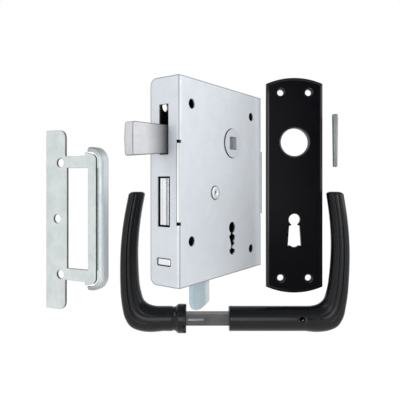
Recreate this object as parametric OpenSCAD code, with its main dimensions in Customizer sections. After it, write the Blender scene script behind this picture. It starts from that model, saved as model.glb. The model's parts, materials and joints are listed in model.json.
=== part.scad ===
// Rim box lock set: a lifting latch lock for the face of a door, with a key bolt and
// a night bolt, and the keeper, lever pair, escutcheon and pin that come with it.
// Millimetres. X points out of the room-side plate, -Y out of the bolt front and Z up.
// The origin is the middle of the face that lies on the door.

/* [Case] */
// Height of the lock case
case_h = 120; // [116:1:130]
// Depth of the case from bolt front to rear wall
case_w = 95; // [93:1:105]
// Thickness of the case, from the door to the room side
case_t = 21.6; // [20.8:0.2:24]
// Thickness of the steel sheet
sheet = 1.8; // [1.4:0.1:2]
// Outer radius of the bends along the room-side edges
bend_r = 2.1; // [2:0.1:2.8]
// Radius of the bolt front's free corners
corner_r = 4.5; // [3:0.5:6]
// Length of the straight tabs in the middle of the two upright edges
tab_len = 44.4; // [40:0.4:50]
// Width of the relief notch at each end of a tab
notch_w = 1.9; // [1:0.1:2.2]
// Diameter of the wood screw holes
screw_hole_d = 5.9; // [5:0.1:6.2]
// Distance of the front screw holes from the bolt front
screw_front = 11.5; // [10:0.5:13]
// Distance of the rear screw holes from the bolt front
screw_rear = 79.5; // [79:0.5:83]
// Height of the upper screw holes above mid case
screw_top_z = 45; // [43:0.5:48]
// Height of the lower front screw hole
screw_low_front_z = -34.5; // [-36:0.5:-33]
// Height of the lower rear screw hole
screw_low_rear_z = -46.5; // [-49:0.5:-44]

/* [Follower and latch] */
// Distance of the follower and the keyhole from the bolt front
backset = 55; // [54:0.5:57]
// Height of the follower above mid case
follower_z = 25; // [24:0.5:26]
// Distance from the follower down to the key pin's axis
centres = 55; // [54:0.5:57]
// Diameter of the follower's two journals
journal_d = 18.8; // [18:0.1:20]
// Radial clearance of the journals in the case
journal_gap = 0.3; // [0.2:0.05:0.5]
// How far the follower stands out of the room-side plate
journal_proud = 1; // [0.4:0.1:1.4]
// Across flats of the square spindle socket
socket_w = 8.4; // [8.2:0.1:8.6]
// Diameter of the follower between its journals
hub_d = 15; // [14.5:0.5:16]
// Thickness of the latch
latch_t = 6; // [5:0.5:6.5]
// Height of the latch where it leaves the bolt front
latch_h = 16; // [15:0.1:16.6]
// Reach of the latch in front of the case
latch_reach = 27.8; // [24:0.2:30]
// Distance of the latch pivot from the outside of the rear wall
pivot_rear = 9; // [8.5:0.25:10]
// Height of the latch pivot above mid case
pivot_z = 29.5; // [29:0.25:30]
// Diameter of the latch pivot pin
pivot_d = 5.6; // [5:0.1:6]

/* [Deadbolt] */
// Throw of the deadbolt
throw = 14; // [12:0.5:14.5]
// Thickness of the deadbolt head
head_t = 6.2; // [5.8:0.1:7]
// Height of the deadbolt head
head_h = 26.9; // [25.6:0.1:27.2]
// Height of the deadbolt head's lower edge
head_low_z = -24.9; // [-25.2:0.1:-24.7]
// Length of the deadbolt head
head_len = 27; // [25:0.5:27.5]
// Thickness of the deadbolt's tail plate
tail_t = 3; // [2.5:0.25:3.5]
// Diameter of the two studs that guide the tail
stud_d = 6; // [5.5:0.1:6.2]
// Distance of the front guide stud from the bolt front
stud_w = 35.2; // [34.8:0.2:35.8]
// Height of the front guide stud
stud_z = -6.9; // [-7.1:0.1:-6.7]
// Diameter of the front stud's riveted head
stud_head_d = 8.9; // [8:0.1:9.6]

/* [Night bolt] */
// Throw of the night bolt
night_throw = 10; // [8:0.5:10.5]
// Width of the night bolt bar
night_w = 9; // [8:0.1:9.2]
// Thickness of the night bolt bar
night_t = 3.8; // [3.4:0.1:4]
// Height of the night bolt bar's upper face above the case's lower end
night_up = 15.8; // [15.4:0.1:16.2]
// Width of the thumb tab
tab_w = 18.75; // [17.5:0.25:20]
// Distance of the thumb tab's front edge from the bolt front
tab_start = 25; // [24.5:0.25:25.5]
// How far the thumb tab hangs below the case
tab_drop = 20.4; // [16:0.2:24]
// Thickness of the thumb tab
tab_t = 2.5; // [2:0.1:3]

/* [Keeper] */
// Height of the keeper plate
keeper_h = 126; // [120:1:132]
// Width of the keeper's screw flange
keeper_flange = 17; // [16.5:0.5:19]
// Width of the keeper's window
window_w = 18; // [17:0.2:20]
// Height of the keeper's window
window_h = 69.8; // [66:0.2:71]
// Width of the bar beside the window
keeper_bar = 6.6; // [6:0.2:8]
// Height of each arm above and below the window
keeper_arm = 8.3; // [8:0.1:9.2]
// Depth of the keeper behind its front face
staple_d = 8.8; // [8:0.2:11]
// Height of the staple wall
staple_h = 98.7; // [96:0.3:101]
// Thickness of the keeper's sheet
keeper_sheet = 1.8; // [1.5:0.1:2]

/* [Escutcheon] */
// Width of the escutcheon
esc_w = 40.2; // [37:0.2:42]
// Height of the escutcheon at its middle
esc_h = 153; // [147:1:158]
// Thickness of the escutcheon
esc_t = 3; // [2.5:0.1:4]
// Radius of the arched ends
esc_arc_r = 49.5; // [46:0.5:54]
// Diameter of the handle hole
esc_hole_d = 19.7; // [19:0.1:20.4]
// Diameter of the escutcheon's screw holes
esc_screw_d = 4.4; // [4:0.1:4.6]
// Distance between the screw holes across the escutcheon
esc_screw_x = 19.8; // [18:0.2:21]
// Distance of the screw holes from the escutcheon's ends
esc_screw_end = 10.6; // [10:0.2:12.4]

/* [Levers and spindle] */
// Across flats of the spindle
spindle_w = 7.8; // [7.6:0.05:8]
// Diameter of the lever necks
neck_d = 16.8; // [16:0.1:18]
// Diameter of the notched collar
collar_d = 19.7; // [19:0.1:22]
// Length of the spindle between collar and loose lever
spindle_gap = 29.4; // [28.6:0.2:34]
// Height of the lever grips above the spindle
grip_h = 87.8; // [84:0.2:92]
// Clearance between the spindle and the loose lever's square hole
spindle_fit = 0.1; // [0.05:0.05:0.2]
// Length of the loose taper pin
pin_len = 37; // [32:1:40]
// Diameter of the taper pin's thick end
pin_d_top = 4.1; // [3.8:0.1:4.4]
// Diameter of the taper pin's thin end
pin_d_low = 3.2; // [2.8:0.1:3.4]

/* [Hidden] */
$fn = 48;
eps = 0.01;
steel = [0.78, 0.80, 0.83];
bright = [0.86, 0.88, 0.90];
dull = [0.62, 0.64, 0.66];
brass = [0.78, 0.66, 0.38];
black = [0.06, 0.06, 0.07];

// Faces and layers of the case
front_y = -case_w / 2;
rear_y = case_w / 2;
in_low_x = sheet;
in_high_x = case_t - sheet;
in_top_z = case_h / 2 - sheet;
key_z = follower_z - centres;
bolt_x = 10.2;
pivot_w = case_w - pivot_rear;
tab_mid_z = -0.6;
seam_w = 0.4;
seam_depth = 0.9;
running = 0.3;
cover_screw_d = 3.4;
cover_head_d = 6.4;
function wy(w) = w - case_w / 2;

// Slots in the bolt front, around the bolts that pass them
slot_gap = 0.5;
latch_slot_w = latch_t + 2 * slot_gap;
latch_slot_low = 15.4;
latch_slot_high = 44.4;
dead_gap = 1.5;
dead_gap_z = 1.1;
dead_recess = 0.6;
dead_slot_w = head_t + 2 * dead_gap;
dead_slot_low = head_low_z - dead_gap_z;
dead_slot_high = head_low_z + head_h + dead_gap_z - 0.1;
night_gap_w = 0.75;
night_gap_z = 0.45;
night_top_z = -case_h / 2 + night_up;
night_low_z = night_top_z - night_t;
night_slot_w = night_w + 2 * night_gap_w;
night_slot_high = night_top_z + night_gap_z;
night_slot_low = night_low_z - night_gap_z;

// Latch outline, as distances from the bolt front and heights; its nose grows taller to the tip
low_slope = 0.09;
top_slope = 0.018;
ledge_slope = 0.06;
latch_low_z = 16.2;
function latch_low(w) = latch_low_z + low_slope * w;
function latch_top(w) = latch_low_z + latch_h + top_slope * w;
nose_root = 32;
ledge_end = 45;
ledge_z = 24;
arch_low = follower_z + hub_d / 2 + 1.2;
arch_h = 6;
eye_r = pivot_d / 2 + 4;

// Lifting arm of the follower, under the latch's ledge
arm_reach = 13;
arm_tip_r = 2;
arm_gap = 0.25;

// Deadbolt tail
tail_low = -14;
tail_top = head_low_z + head_h;
tail_start = 20;
slot_play = 0.25;
pin_w = backset + 13;
pin_z = -3;
tail_end = case_w - 7;
talon_w = backset + 7;
talon_z = key_z + 19.2;
notch_at = 41;
notch_depth = 2.4;

// Tumbler, on the room side of the tail
tumbler_x = bolt_x + tail_t / 2 + 0.5;
tumbler_t = 2;
tumbler_w = pivot_w - 4;
tumbler_z = 8.5;
tumbler_pin_d = 4.5;
tumbler_low = tail_top + 0.3;
tumbler_high = 9.2;
belly_low = -12.2;

// Springs
leaf_t = 0.7;
leaf_w = 6;

// Keeper in its own frame: X across, Y back from its front face, Z up from the flange's middle
keeper_at = [-99.9, -48.1, -26.8];
keeper_turn = 12.4;
keeper_mid = 1.3;
keeper_corner_r = 5.5;
keeper_hole_d = 6.3;
keeper_hole_x = 12.6;
keeper_mid_hole_x = 9.8;
keeper_hole_step = 78.3;
staple_roll = 10;
staple_tab = 12;
staple_steps = [[1, 2, 2.9], [1.8, 0.9, 4.1], [2.7, 0, staple_d]];
window_rim = 1.5;
bar_x0 = keeper_flange + window_rim + window_w;
bar_x1 = bar_x0 + keeper_bar;
staple_x1 = bar_x1 + 4.3;

// Plane in which the loose levers, escutcheon and pin are laid out
set_turn = 36.4;
set_x = -7.8;
set_y = 11.9;
esc_at = [67.2, 4.5, -2.6];
levers_at = [0, -4.2, -94.5];
collar_face = -9.5;
pin_at = [94.6, 0, 10.2];

module laid_out(at) {
    translate([set_x, set_y, 0]) rotate([0, 0, set_turn]) translate(at) children();
}

// Pin or hole along X at a distance w from the bolt front
module along_x(x0, x1, w, z, d) {
    translate([x0, wy(w), z]) rotate([0, 90, 0]) cylinder(d = d, h = x1 - x0);
}

// Square-edged plate between two X faces, drawn as distances from the bolt front and heights
module plate_x(x0, x1) {
    translate([x0, 0, 0]) rotate([90, 0, 90])
        linear_extrude(height = x1 - x0) translate([front_y, 0]) children();
}

module box_between(lo, hi) {
    translate(lo) cube(hi - lo);
}

// Rounds one corner of a wall that faces along Y
module corner_cut(x, z, dir_x, dir_z, y0, y1, r) {
    far_x = x - dir_x;
    far_z = z - dir_z;
    near_x = x + dir_x * r;
    near_z = z + dir_z * r;
    difference() {
        box_between([min(far_x, near_x), y0, min(far_z, near_z)],
            [max(far_x, near_x), y1, max(far_z, near_z)]);
        translate([near_x, y0 - 1, near_z]) rotate([-90, 0, 0]) cylinder(r = r, h = y1 - y0 + 2);
    }
}

module screw_holes(x0, x1) {
    along_x(x0, x1, screw_front, screw_top_z, screw_hole_d);
    along_x(x0, x1, screw_rear, screw_top_z, screw_hole_d);
    along_x(x0, x1, screw_front, screw_low_front_z, screw_hole_d);
    along_x(x0, x1, screw_rear, screw_low_rear_z, screw_hole_d);
}

// Keyhole of the case, wavy along its right edge for the ribs of a profiled key
module key_profile() {
    circle(d = 7.5);
    polygon([[-1.7, -2.5], [-1.7, -4.2], [-3.2, -5.1], [-3.5, -6.3], [-2.1, -8.7], [-1.4, -11.2],
        [-1.5, -13.2], [-3.1, -14.5], [-3.1, -15.8], [-1.4, -17.2], [0, -18.1], [1.4, -17.4],
        [3.1, -16.6], [3.8, -15.4], [3, -14.3], [1.4, -14], [0.3, -13.2], [1, -12], [3.1, -11.2],
        [3.1, -10.3], [1.8, -9.1], [3.3, -8], [3.7, -7.2], [3.6, -5.2], [1.2, -4.4], [1.4, -2.5]]);
}

module keyhole(x0, x1) {
    plate_x(x0, x1) translate([backset, key_z]) key_profile();
}

// U of the case seen from above: room-side plate between the front and rear walls
module case_u() {
    difference() {
        union() {
            translate([0, front_y]) square([case_t - bend_r, case_w]);
            translate([0, front_y + bend_r]) square([case_t, case_w - 2 * bend_r]);
            translate([case_t - bend_r, front_y + bend_r]) circle(r = bend_r);
            translate([case_t - bend_r, rear_y - bend_r]) circle(r = bend_r);
        }
        translate([-1, front_y + sheet]) square([in_high_x + 1, case_w - 2 * sheet]);
    }
}

module tab_corner(y0, y1) {
    box_between([in_high_x, y0, tab_mid_z - tab_len / 2], [case_t, y1, tab_mid_z + tab_len / 2]);
}

module tab_notches(y0, y1) {
    for (z = [tab_mid_z - tab_len / 2 - notch_w, tab_mid_z + tab_len / 2])
        box_between([in_high_x - 0.6, y0, z], [case_t + 1, y1, z + notch_w]);
}

module case_body() {
    color(steel) difference() {
        union() {
            translate([0, 0, -case_h / 2]) linear_extrude(height = case_h) case_u();
            tab_corner(front_y, front_y + bend_r);
            tab_corner(rear_y - bend_r, rear_y);
        }
        tab_notches(front_y - 1, front_y + 1.9);
        tab_notches(rear_y - 1.9, rear_y + 1);
        box_between([in_high_x - seam_w, front_y - 1, tab_mid_z - tab_len / 2],
            [in_high_x, front_y + seam_depth, tab_mid_z + tab_len / 2]);
        for (side = [-1, 1]) {
            corner_cut(0, side * case_h / 2, 1, -side, front_y - 1, front_y + sheet + eps, corner_r);
            corner_cut(0, side * case_h / 2, 1, -side, rear_y - sheet - eps, rear_y + 1, corner_r);
        }
        screw_holes(in_high_x - 1, case_t + 1);
        along_x(in_high_x - 1, case_t + 1, backset, follower_z, journal_d + 2 * journal_gap);
        along_x(in_high_x - 1, case_t + 1, stud_w, stud_z, stud_d - 1);
        keyhole(in_high_x - 1, case_t + 1);
        front_slot(latch_slot_w, latch_slot_low, latch_slot_high, 0.3);
        front_slot(dead_slot_w, dead_slot_low, dead_slot_high, 0.3);
        front_slot(night_slot_w, night_slot_low, night_slot_high, 1);
    }
}

module front_slot(w, low, high, r) {
    translate([0, front_y + sheet + 1, 0]) rotate([90, 0, 0]) linear_extrude(height = sheet + 2) union() {
        translate([bolt_x - w / 2 + r, low]) square([w - 2 * r, high - low]);
        translate([bolt_x - w / 2, low + r]) square([w, high - low - 2 * r]);
        for (x = [bolt_x - w / 2 + r, bolt_x + w / 2 - r], z = [low + r, high - r])
            translate([x, z]) circle(r = r);
    }
}

// Channel of the back plate seen along Y: door-side plate with its top and bottom flanges
module back_u() {
    r = corner_r;
    difference() {
        union() {
            translate([r, -case_h / 2]) square([in_high_x - r, case_h]);
            translate([0, -case_h / 2 + r]) square([in_high_x, case_h - 2 * r]);
            for (side = [-1, 1]) translate([r, side * (case_h / 2 - r)]) circle(r = r);
        }
        translate([sheet, -in_top_z + r - sheet]) square([in_high_x, 2 * (in_top_z - r + sheet)]);
        translate([r, -in_top_z]) square([in_high_x, 2 * in_top_z]);
        for (side = [-1, 1]) translate([r, side * (case_h / 2 - r)]) circle(r = r - sheet);
    }
}

module back_plate() {
    y0 = front_y + sheet;
    tab_slot_front = tab_start - night_throw - 0.5;
    color(steel) difference() {
        translate([0, rear_y - sheet, 0]) rotate([90, 0, 0])
            linear_extrude(height = case_w - 2 * sheet) back_u();
        screw_holes(-1, sheet + 1);
        along_x(-1, sheet + 1, backset, follower_z, journal_d + 2 * journal_gap);
        keyhole(-1, sheet + 1);
        along_x(-1, sheet + 1, stud_w, stud_z, cover_screw_d);
        screw_head(0, cover_head_d);
        along_x(-1, sheet + 1, pin_w, pin_z, stud_d - 2);
        along_x(-1, sheet + 1, pivot_w, pivot_z, pivot_d - 1.6);
        along_x(-1, sheet + 1, tumbler_w, tumbler_z, tumbler_pin_d - 1.5);
        box_between([bolt_x - tab_t / 2 - 0.5, wy(tab_slot_front), -case_h / 2 - 1],
            [bolt_x + tab_t / 2 + 0.5, wy(tab_start + tab_w + 0.5), -in_top_z + 1]);
        latch_spring_hole();
        strap_rivet_holes();
    }
}

// Stud riveted through the room-side plate; the tail of the deadbolt slides on it
module guide_stud() {
    shoulder_d = stud_d + 3;
    color(bright) difference() {
        union() {
            along_x(sheet, bolt_x - tail_t / 2 - running, stud_w, stud_z, shoulder_d);
            along_x(sheet, in_high_x, stud_w, stud_z, stud_d);
            along_x(bolt_x + tail_t / 2 + running, in_high_x, stud_w, stud_z, shoulder_d);
            along_x(in_high_x - eps, case_t, stud_w, stud_z, stud_d - 1);
            translate([case_t, wy(stud_w), stud_z]) rotate([0, 90, 0])
                cylinder(d1 = stud_head_d, d2 = stud_head_d - 1.6, h = 1);
        }
        along_x(-1, sheet + 9, stud_w, stud_z, cover_screw_d);
    }
}

// Countersunk screw that holds the back plate to the guide stud
module cover_screw() {
    color(bright) difference() {
        union() {
            along_x(0, sheet + 8, stud_w, stud_z, cover_screw_d);
            screw_head(0, cover_head_d);
        }
        box_between([-1, wy(stud_w) - 4, stud_z - 0.4], [0.8, wy(stud_w) + 4, stud_z + 0.4]);
    }
}

module screw_head(x, d) {
    translate([x, wy(stud_w), stud_z]) rotate([0, 90, 0])
        cylinder(d1 = d, d2 = cover_screw_d, h = (cover_head_d - cover_screw_d) / 2);
}

module shouldered_pin(w, z, d, shoulder_d, x_low, x_high, spigot_d) {
    along_x(sheet, x_low, w, z, shoulder_d);
    along_x(sheet, in_high_x, w, z, d);
    along_x(0, sheet + eps, w, z, spigot_d);
    if (x_high < in_high_x) along_x(x_high, in_high_x, w, z, shoulder_d);
}

module tail_guide_pin() {
    color(bright) shouldered_pin(pin_w, pin_z, stud_d, stud_d + 3, bolt_x - tail_t / 2 - running,
        bolt_x + tail_t / 2 + running, stud_d - 2);
}

// Follower: journals in both plates, a lifting arm under the latch and a square socket
module follower() {
    tip_w = backset - arm_reach;
    tip_z = latch_ledge_at(tip_w) - arm_gap - arm_tip_r;
    color(dull) difference() {
        union() {
            along_x(0.4, bolt_x - latch_t / 2 - 0.4, backset, follower_z, journal_d);
            along_x(bolt_x - latch_t / 2 - 0.5, bolt_x + latch_t / 2 + 0.5, backset, follower_z, hub_d);
            along_x(bolt_x + latch_t / 2 + 0.4, case_t + journal_proud, backset, follower_z, journal_d);
            plate_x(bolt_x - latch_t / 2 - 0.4, bolt_x + latch_t / 2 + 0.4) polygon([
                [tip_w, tip_z + arm_tip_r], [tip_w, tip_z - arm_tip_r], [backset - 5, follower_z - 6.5],
                [backset - 4, follower_z + 1], [backset - 8, tip_z + arm_tip_r - 0.6]]);
            along_x(bolt_x - latch_t / 2 - 0.4, bolt_x + latch_t / 2 + 0.4, tip_w, tip_z, 2 * arm_tip_r);
        }
        box_between([-1, wy(backset) - socket_w / 2, follower_z - socket_w / 2],
            [case_t + journal_proud + 1, wy(backset) + socket_w / 2, follower_z + socket_w / 2]);
    }
}

function latch_ledge_at(w) = ledge_z + ledge_slope * (w - nose_root);

// Latch: nose, ledge for the follower's arm, arch over the hub and pivot eye in one bar
module latch() {
    tip = -latch_reach;
    low = latch_low(tip);
    top = latch_top(tip);
    arch_top = arch_low + arch_h;
    color(bright) difference() {
        union() {
            plate_x(bolt_x - latch_t / 2, bolt_x + latch_t / 2) polygon([
                [tip + 1.4, low], [tip + 0.4, low + 0.4], [tip, low + 1.4], [tip - 0.4, (low + top) / 2],
                [tip, top - 1.4], [tip + 0.4, top - 0.4], [tip + 1.4, top],
                [nose_root, latch_top(nose_root)], [44, arch_top], [68, arch_top],
                [pivot_w + 3, pivot_z + 5], [pivot_w + 1, pivot_z], [pivot_w - 3, pivot_z - 5.2],
                [69, arch_low - 1.5], [66, arch_low], [48, arch_low],
                [ledge_end, latch_ledge_at(ledge_end) + 4], [ledge_end, latch_ledge_at(ledge_end)],
                [nose_root + 1, latch_ledge_at(nose_root + 1)], [nose_root, latch_low(nose_root)]]);
            along_x(bolt_x - latch_t / 2, bolt_x + latch_t / 2, pivot_w, pivot_z, 2 * eye_r);
        }
        along_x(0, case_t, pivot_w, pivot_z, pivot_d + 0.1);
    }
}

module latch_pivot() {
    color(bright) shouldered_pin(pivot_w, pivot_z, pivot_d, pivot_d + 3.4, bolt_x - latch_t / 2 - running,
        in_high_x, pivot_d - 1.6);
}

module latch_spacer() {
    color(brass) difference() {
        along_x(bolt_x + latch_t / 2 + running, in_high_x, pivot_w, pivot_z, pivot_d + 3.4);
        along_x(0, case_t, pivot_w, pivot_z, pivot_d);
    }
}

// Leaf that follows an arc from a fixed point to its free end; sag is the arc's rise over its chord
function arc_point(a, b, sag, t) = [a[0] + (b[0] - a[0]) * t, a[1] + (b[1] - a[1]) * t]
    + 4 * sag * t * (1 - t) * [-(b[1] - a[1]), b[0] - a[0]] / norm(b - a);
module leaf(a, b, sag, x_mid, width, steps = 14) {
    plate_x(x_mid - width / 2, x_mid + width / 2) polygon(concat(
        [for (i = [0:steps]) arc_point(a, b, sag, i / steps)],
        [for (i = [steps:-1:0]) arc_point(a, b, sag, i / steps) + [0, leaf_t]]));
}

foot_w = pivot_w - 2;
foot_len = 8;
foot_mid_w = foot_w + foot_len / 2;
spring_rivet_d = 3;
module latch_spring() {
    contact = arch_low + arch_h + 0.3;
    foot_z = in_top_z - leaf_t;
    color(dull) difference() {
        union() {
            leaf([backset + 3, contact], [foot_w, foot_z], 0.23 * (foot_z - contact), bolt_x, leaf_w);
            box_between([bolt_x - leaf_w / 2, wy(foot_w - eps), foot_z],
                [bolt_x + leaf_w / 2, wy(foot_w + foot_len), in_top_z]);
        }
        latch_spring_hole();
    }
}

module latch_spring_hole() {
    translate([bolt_x, wy(foot_mid_w), in_top_z - 3]) cylinder(d = spring_rivet_d, h = sheet + 5);
}

module latch_spring_rivet() {
    color(bright) translate([bolt_x, wy(foot_mid_w), 0]) union() {
        translate([0, 0, in_top_z - leaf_t]) cylinder(d = spring_rivet_d, h = sheet + leaf_t);
        translate([0, 0, in_top_z - leaf_t - 1.2]) cylinder(d = spring_rivet_d + 2, h = 1.2);
    }
}

// Deadbolt head: two steel plates side by side with a groove between them
module deadbolt_head() {
    thin = 1.4;
    x0 = bolt_x - head_t / 2;
    x1 = bolt_x + head_t / 2;
    groove = 0.5;
    color(bright) difference() {
        box_between([x0, front_y + dead_recess, head_low_z], [x1, front_y + head_len, head_low_z + head_h]);
        box_between([x1 - thin - groove, front_y - 1, head_low_z - 1],
            [x1 - thin, front_y + 1.6, head_low_z + head_h + 1]);
        box_between([bolt_x - tail_t / 2, wy(tail_start), head_low_z - 1],
            [bolt_x + tail_t / 2, wy(head_len + 1), head_low_z + head_h + 1]);
        for (z = head_rivet_z) along_x(0, case_t, head_rivet_w, z, 3);
    }
}

head_rivet_w = tail_start + 3.5;
head_rivet_z = [-10, -1];
module deadbolt_rivets() {
    color(dull) for (z = head_rivet_z) along_x(bolt_x - head_t / 2, bolt_x + head_t / 2, head_rivet_w, z, 3);
}

module stud_slot(w, z, d) {
    h = d + 2 * slot_play;
    translate([w - h / 2, z - h / 2]) square([h + throw, h]);
}

// Tail plate: two slots on the guide studs, a talon for the key and two notches on its crest
module deadbolt_tail() {
    color(steel) difference() {
        plate_x(bolt_x - tail_t / 2, bolt_x + tail_t / 2) difference() {
            translate([tail_start, tail_low]) square([tail_end - tail_start, tail_top - tail_low]);
            stud_slot(stud_w, stud_z, stud_d);
            stud_slot(pin_w, pin_z, stud_d);
            polygon([[talon_w - 4.5, tail_low - 1], [talon_w - 3.5, talon_z], [talon_w + 3.5, talon_z],
                [talon_w + 4.5, tail_low - 1]]);
            for (w = [notch_at, notch_at + throw])
                translate([w - 2.2, tail_top - notch_depth]) square([4.4, notch_depth + 1]);
        }
        for (z = head_rivet_z) along_x(0, case_t, head_rivet_w, z, 3);
    }
}

// Tumbler: lever beside the tail with a stump over its crest and a belly for the key
module tumbler() {
    color(brass) difference() {
        union() {
            plate_x(tumbler_x, tumbler_x + tumbler_t) union() {
                polygon([[notch_at - 2, tumbler_low], [notch_at - 2, tumbler_high],
                    [tumbler_w, tumbler_z + 4.5], [tumbler_w, tumbler_z - 4.5],
                    [backset + 7, tumbler_low], [backset + 6, belly_low + 2], [backset + 4, belly_low],
                    [backset - 4, belly_low], [backset - 6, belly_low + 2], [backset - 7, tumbler_low]]);
                translate([tumbler_w, tumbler_z]) circle(r = 4.5);
            }
            box_between([bolt_x - tail_t / 2, wy(notch_at - 2), tumbler_low],
                [tumbler_x + eps, wy(notch_at + 2), tumbler_low + 3.4]);
        }
        along_x(0, case_t, tumbler_w, tumbler_z, tumbler_pin_d + 0.1);
    }
}

module tumbler_pin() {
    color(bright) shouldered_pin(tumbler_w, tumbler_z, tumbler_pin_d, tumbler_pin_d + 3,
        tumbler_x - running, tumbler_x + tumbler_t + running, tumbler_pin_d - 1.5);
}

tumbler_spring_z = 19;
tumbler_leaf_w = 3.6;
module tumbler_spring() {
    x_mid = tumbler_x + tumbler_t / 2;
    in_rear = case_w - sheet;
    color(dull) difference() {
        union() {
            leaf([backset + 7, tumbler_high + 2.4], [in_rear - leaf_t / 2, tumbler_spring_z - 4], 2, x_mid,
                tumbler_leaf_w);
            box_between([x_mid - tumbler_leaf_w / 2, wy(in_rear - leaf_t), tumbler_spring_z - 4],
                [x_mid + tumbler_leaf_w / 2, wy(in_rear), tumbler_spring_z + 3]);
        }
        rear_rivet_hole(x_mid);
    }
}

module rear_rivet_hole(x_mid) {
    translate([x_mid, rear_y - sheet - 3, tumbler_spring_z]) rotate([-90, 0, 0]) cylinder(d = 1.6, h = 3.1);
}

module tumbler_spring_rivet() {
    x_mid = tumbler_x + tumbler_t / 2;
    color(bright) translate([x_mid, rear_y - sheet, tumbler_spring_z]) rotate([90, 0, 0]) union() {
        cylinder(d = 1.6, h = leaf_t);
        translate([0, 0, leaf_t]) cylinder(d = 3.2, h = 0.9);
    }
}

// Night bolt bar, with two mortises for the tenons of its thumb tab
bar_end = tab_start + 17.2;
tenon_w = [tab_start + 3, tab_start + 13];
module night_bolt() {
    x0 = bolt_x - night_w / 2;
    x1 = bolt_x + night_w / 2;
    color(bright) difference() {
        box_between([x0, front_y + 0.1, night_low_z], [x1, wy(bar_end), night_top_z]);
        for (w = tenon_w) box_between([bolt_x - tab_t / 2, wy(w - 2), night_low_z - 1],
            [bolt_x + tab_t / 2, wy(w + 2), night_top_z + 1]);
    }
}

// Thumb tab: its front corner is rounded and its end slopes up to the rear
module thumb_tab() {
    r = 6.5;
    low_z = -case_h / 2 - tab_drop;
    tab_end = tab_start + tab_w;
    arc = [for (a = [180:9:270]) [tab_start + r + r * cos(a), low_z + r + r * sin(a)]];
    color([0.70, 0.76, 0.80]) plate_x(bolt_x - tab_t / 2, bolt_x + tab_t / 2) union() {
        polygon(concat(arc, [[tab_start + 9.5, low_z], [tab_end - 1.3, low_z + 2.4], [tab_end, low_z + 4],
            [tab_end, night_low_z], [tab_start, night_low_z]]));
        for (w = tenon_w) translate([w - 2, night_low_z - eps]) square([4, night_t + eps]);
    }
}

// Bent leaf between the bottom flange and the bar: a U that presses on the bar from below
spring_w = [2.6, 13.2];
module night_spring() {
    crest = night_low_z - running;
    r = (spring_w[1] - spring_w[0]) / 2;
    mid = spring_w[0] + r;
    color(dull) plate_x(bolt_x - leaf_w / 2, bolt_x + leaf_w / 2) difference() {
        union() {
            translate([spring_w[0], -in_top_z]) square([2 * r, crest - r + in_top_z]);
            translate([mid, crest - r]) circle(r = r);
        }
        translate([spring_w[0] + leaf_t, -in_top_z - 1])
            square([2 * r - 2 * leaf_t, crest - r + in_top_z + 1]);
        translate([mid, crest - r]) circle(r = r - leaf_t);
    }
}

// Strap that guides the night bolt: a foot on the bottom flange and a bridge over the bar
strap_w = [5, 12];
strap_t = 1.2;
strap_rivet_x = (bolt_x + night_w / 2 + running + strap_t + in_high_x) / 2;
strap_rivet_w = [6.7, 10.3];
strap_rivet_d = 1.6;
module night_strap() {
    x0 = bolt_x - night_w / 2 - running;
    x1 = bolt_x + night_w / 2 + running;
    y0 = wy(strap_w[0]);
    y1 = wy(strap_w[1]);
    top = night_top_z + running;
    color(steel) difference() {
        union() {
            box_between([x0 - strap_t, y0, night_low_z - 1], [x0, y1, top + strap_t]);
            box_between([x0 - strap_t, y0, top], [x1 + strap_t, y1, top + strap_t]);
            box_between([x1, y0, -in_top_z], [x1 + strap_t, y1, top + strap_t]);
            box_between([x1, y0, -in_top_z], [in_high_x, y1, -in_top_z + strap_t]);
        }
        strap_rivet_holes();
    }
}

module strap_rivet_holes() {
    for (w = strap_rivet_w) translate([strap_rivet_x, wy(w), -case_h / 2 - 1])
        cylinder(d = strap_rivet_d, h = sheet + strap_t + 2);
}

module strap_rivets() {
    color(bright) for (w = strap_rivet_w) translate([strap_rivet_x, wy(w), -case_h / 2]) union() {
        cylinder(d = strap_rivet_d, h = sheet + strap_t);
        translate([0, 0, sheet + strap_t]) cylinder(d = strap_rivet_d + 1, h = 0.8);
    }
}

module keeper_frame() {
    translate(keeper_at) rotate([0, 0, keeper_turn]) children();
}

// Outline of the keeper's plate: screw flange, two arms and the bar beside the window
module keeper_outline() {
    half = keeper_h / 2;
    arm_half = window_h / 2 + keeper_arm;
    bar_half = staple_h / 2 - 3.8;
    step_x = bar_x0 - 2.6;
    r = keeper_corner_r;
    upper = [[keeper_flange, arm_half], [step_x, arm_half], [step_x, bar_half],
        [bar_x1 - 2.1, bar_half - 1.6], [bar_x1 - 0.7, bar_half - 3.2], [bar_x1, bar_half - 4.7]];
    lower = [for (i = [5:-1:0]) [upper[i][0], -upper[i][1]]];
    right_edge = [for (p = concat(upper, lower)) p + [0, keeper_mid]];
    difference() {
        polygon(concat([[0, -half], [0, half], [keeper_flange, half]], right_edge, [[keeper_flange, -half]]));
        for (side = [-1, 1]) difference() {
            translate([keeper_flange - r, side * (half - r / 2 + 0.5) - r / 2 - 0.5]) square([r + 1, r + 1]);
            translate([keeper_flange - r, side * (half - r)]) circle(r = r);
        }
        translate([keeper_flange + window_rim, keeper_mid - window_h / 2]) square([window_w, window_h]);
    }
}

module keeper_plate() {
    color(steel) keeper_frame() difference() {
        translate([0, keeper_sheet, 0]) rotate([90, 0, 0])
            linear_extrude(height = keeper_sheet) keeper_outline();
        for (side = [-1, 1]) keeper_hole(keeper_hole_x, keeper_mid - 0.5 + side * keeper_hole_step / 2);
        keeper_hole(keeper_mid_hole_x, keeper_mid - 0.7);
    }
}

module keeper_hole(x, z) {
    translate([x, -1, z]) rotate([-90, 0, 0]) cylinder(d = keeper_hole_d, h = keeper_sheet + 2);
}

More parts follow.
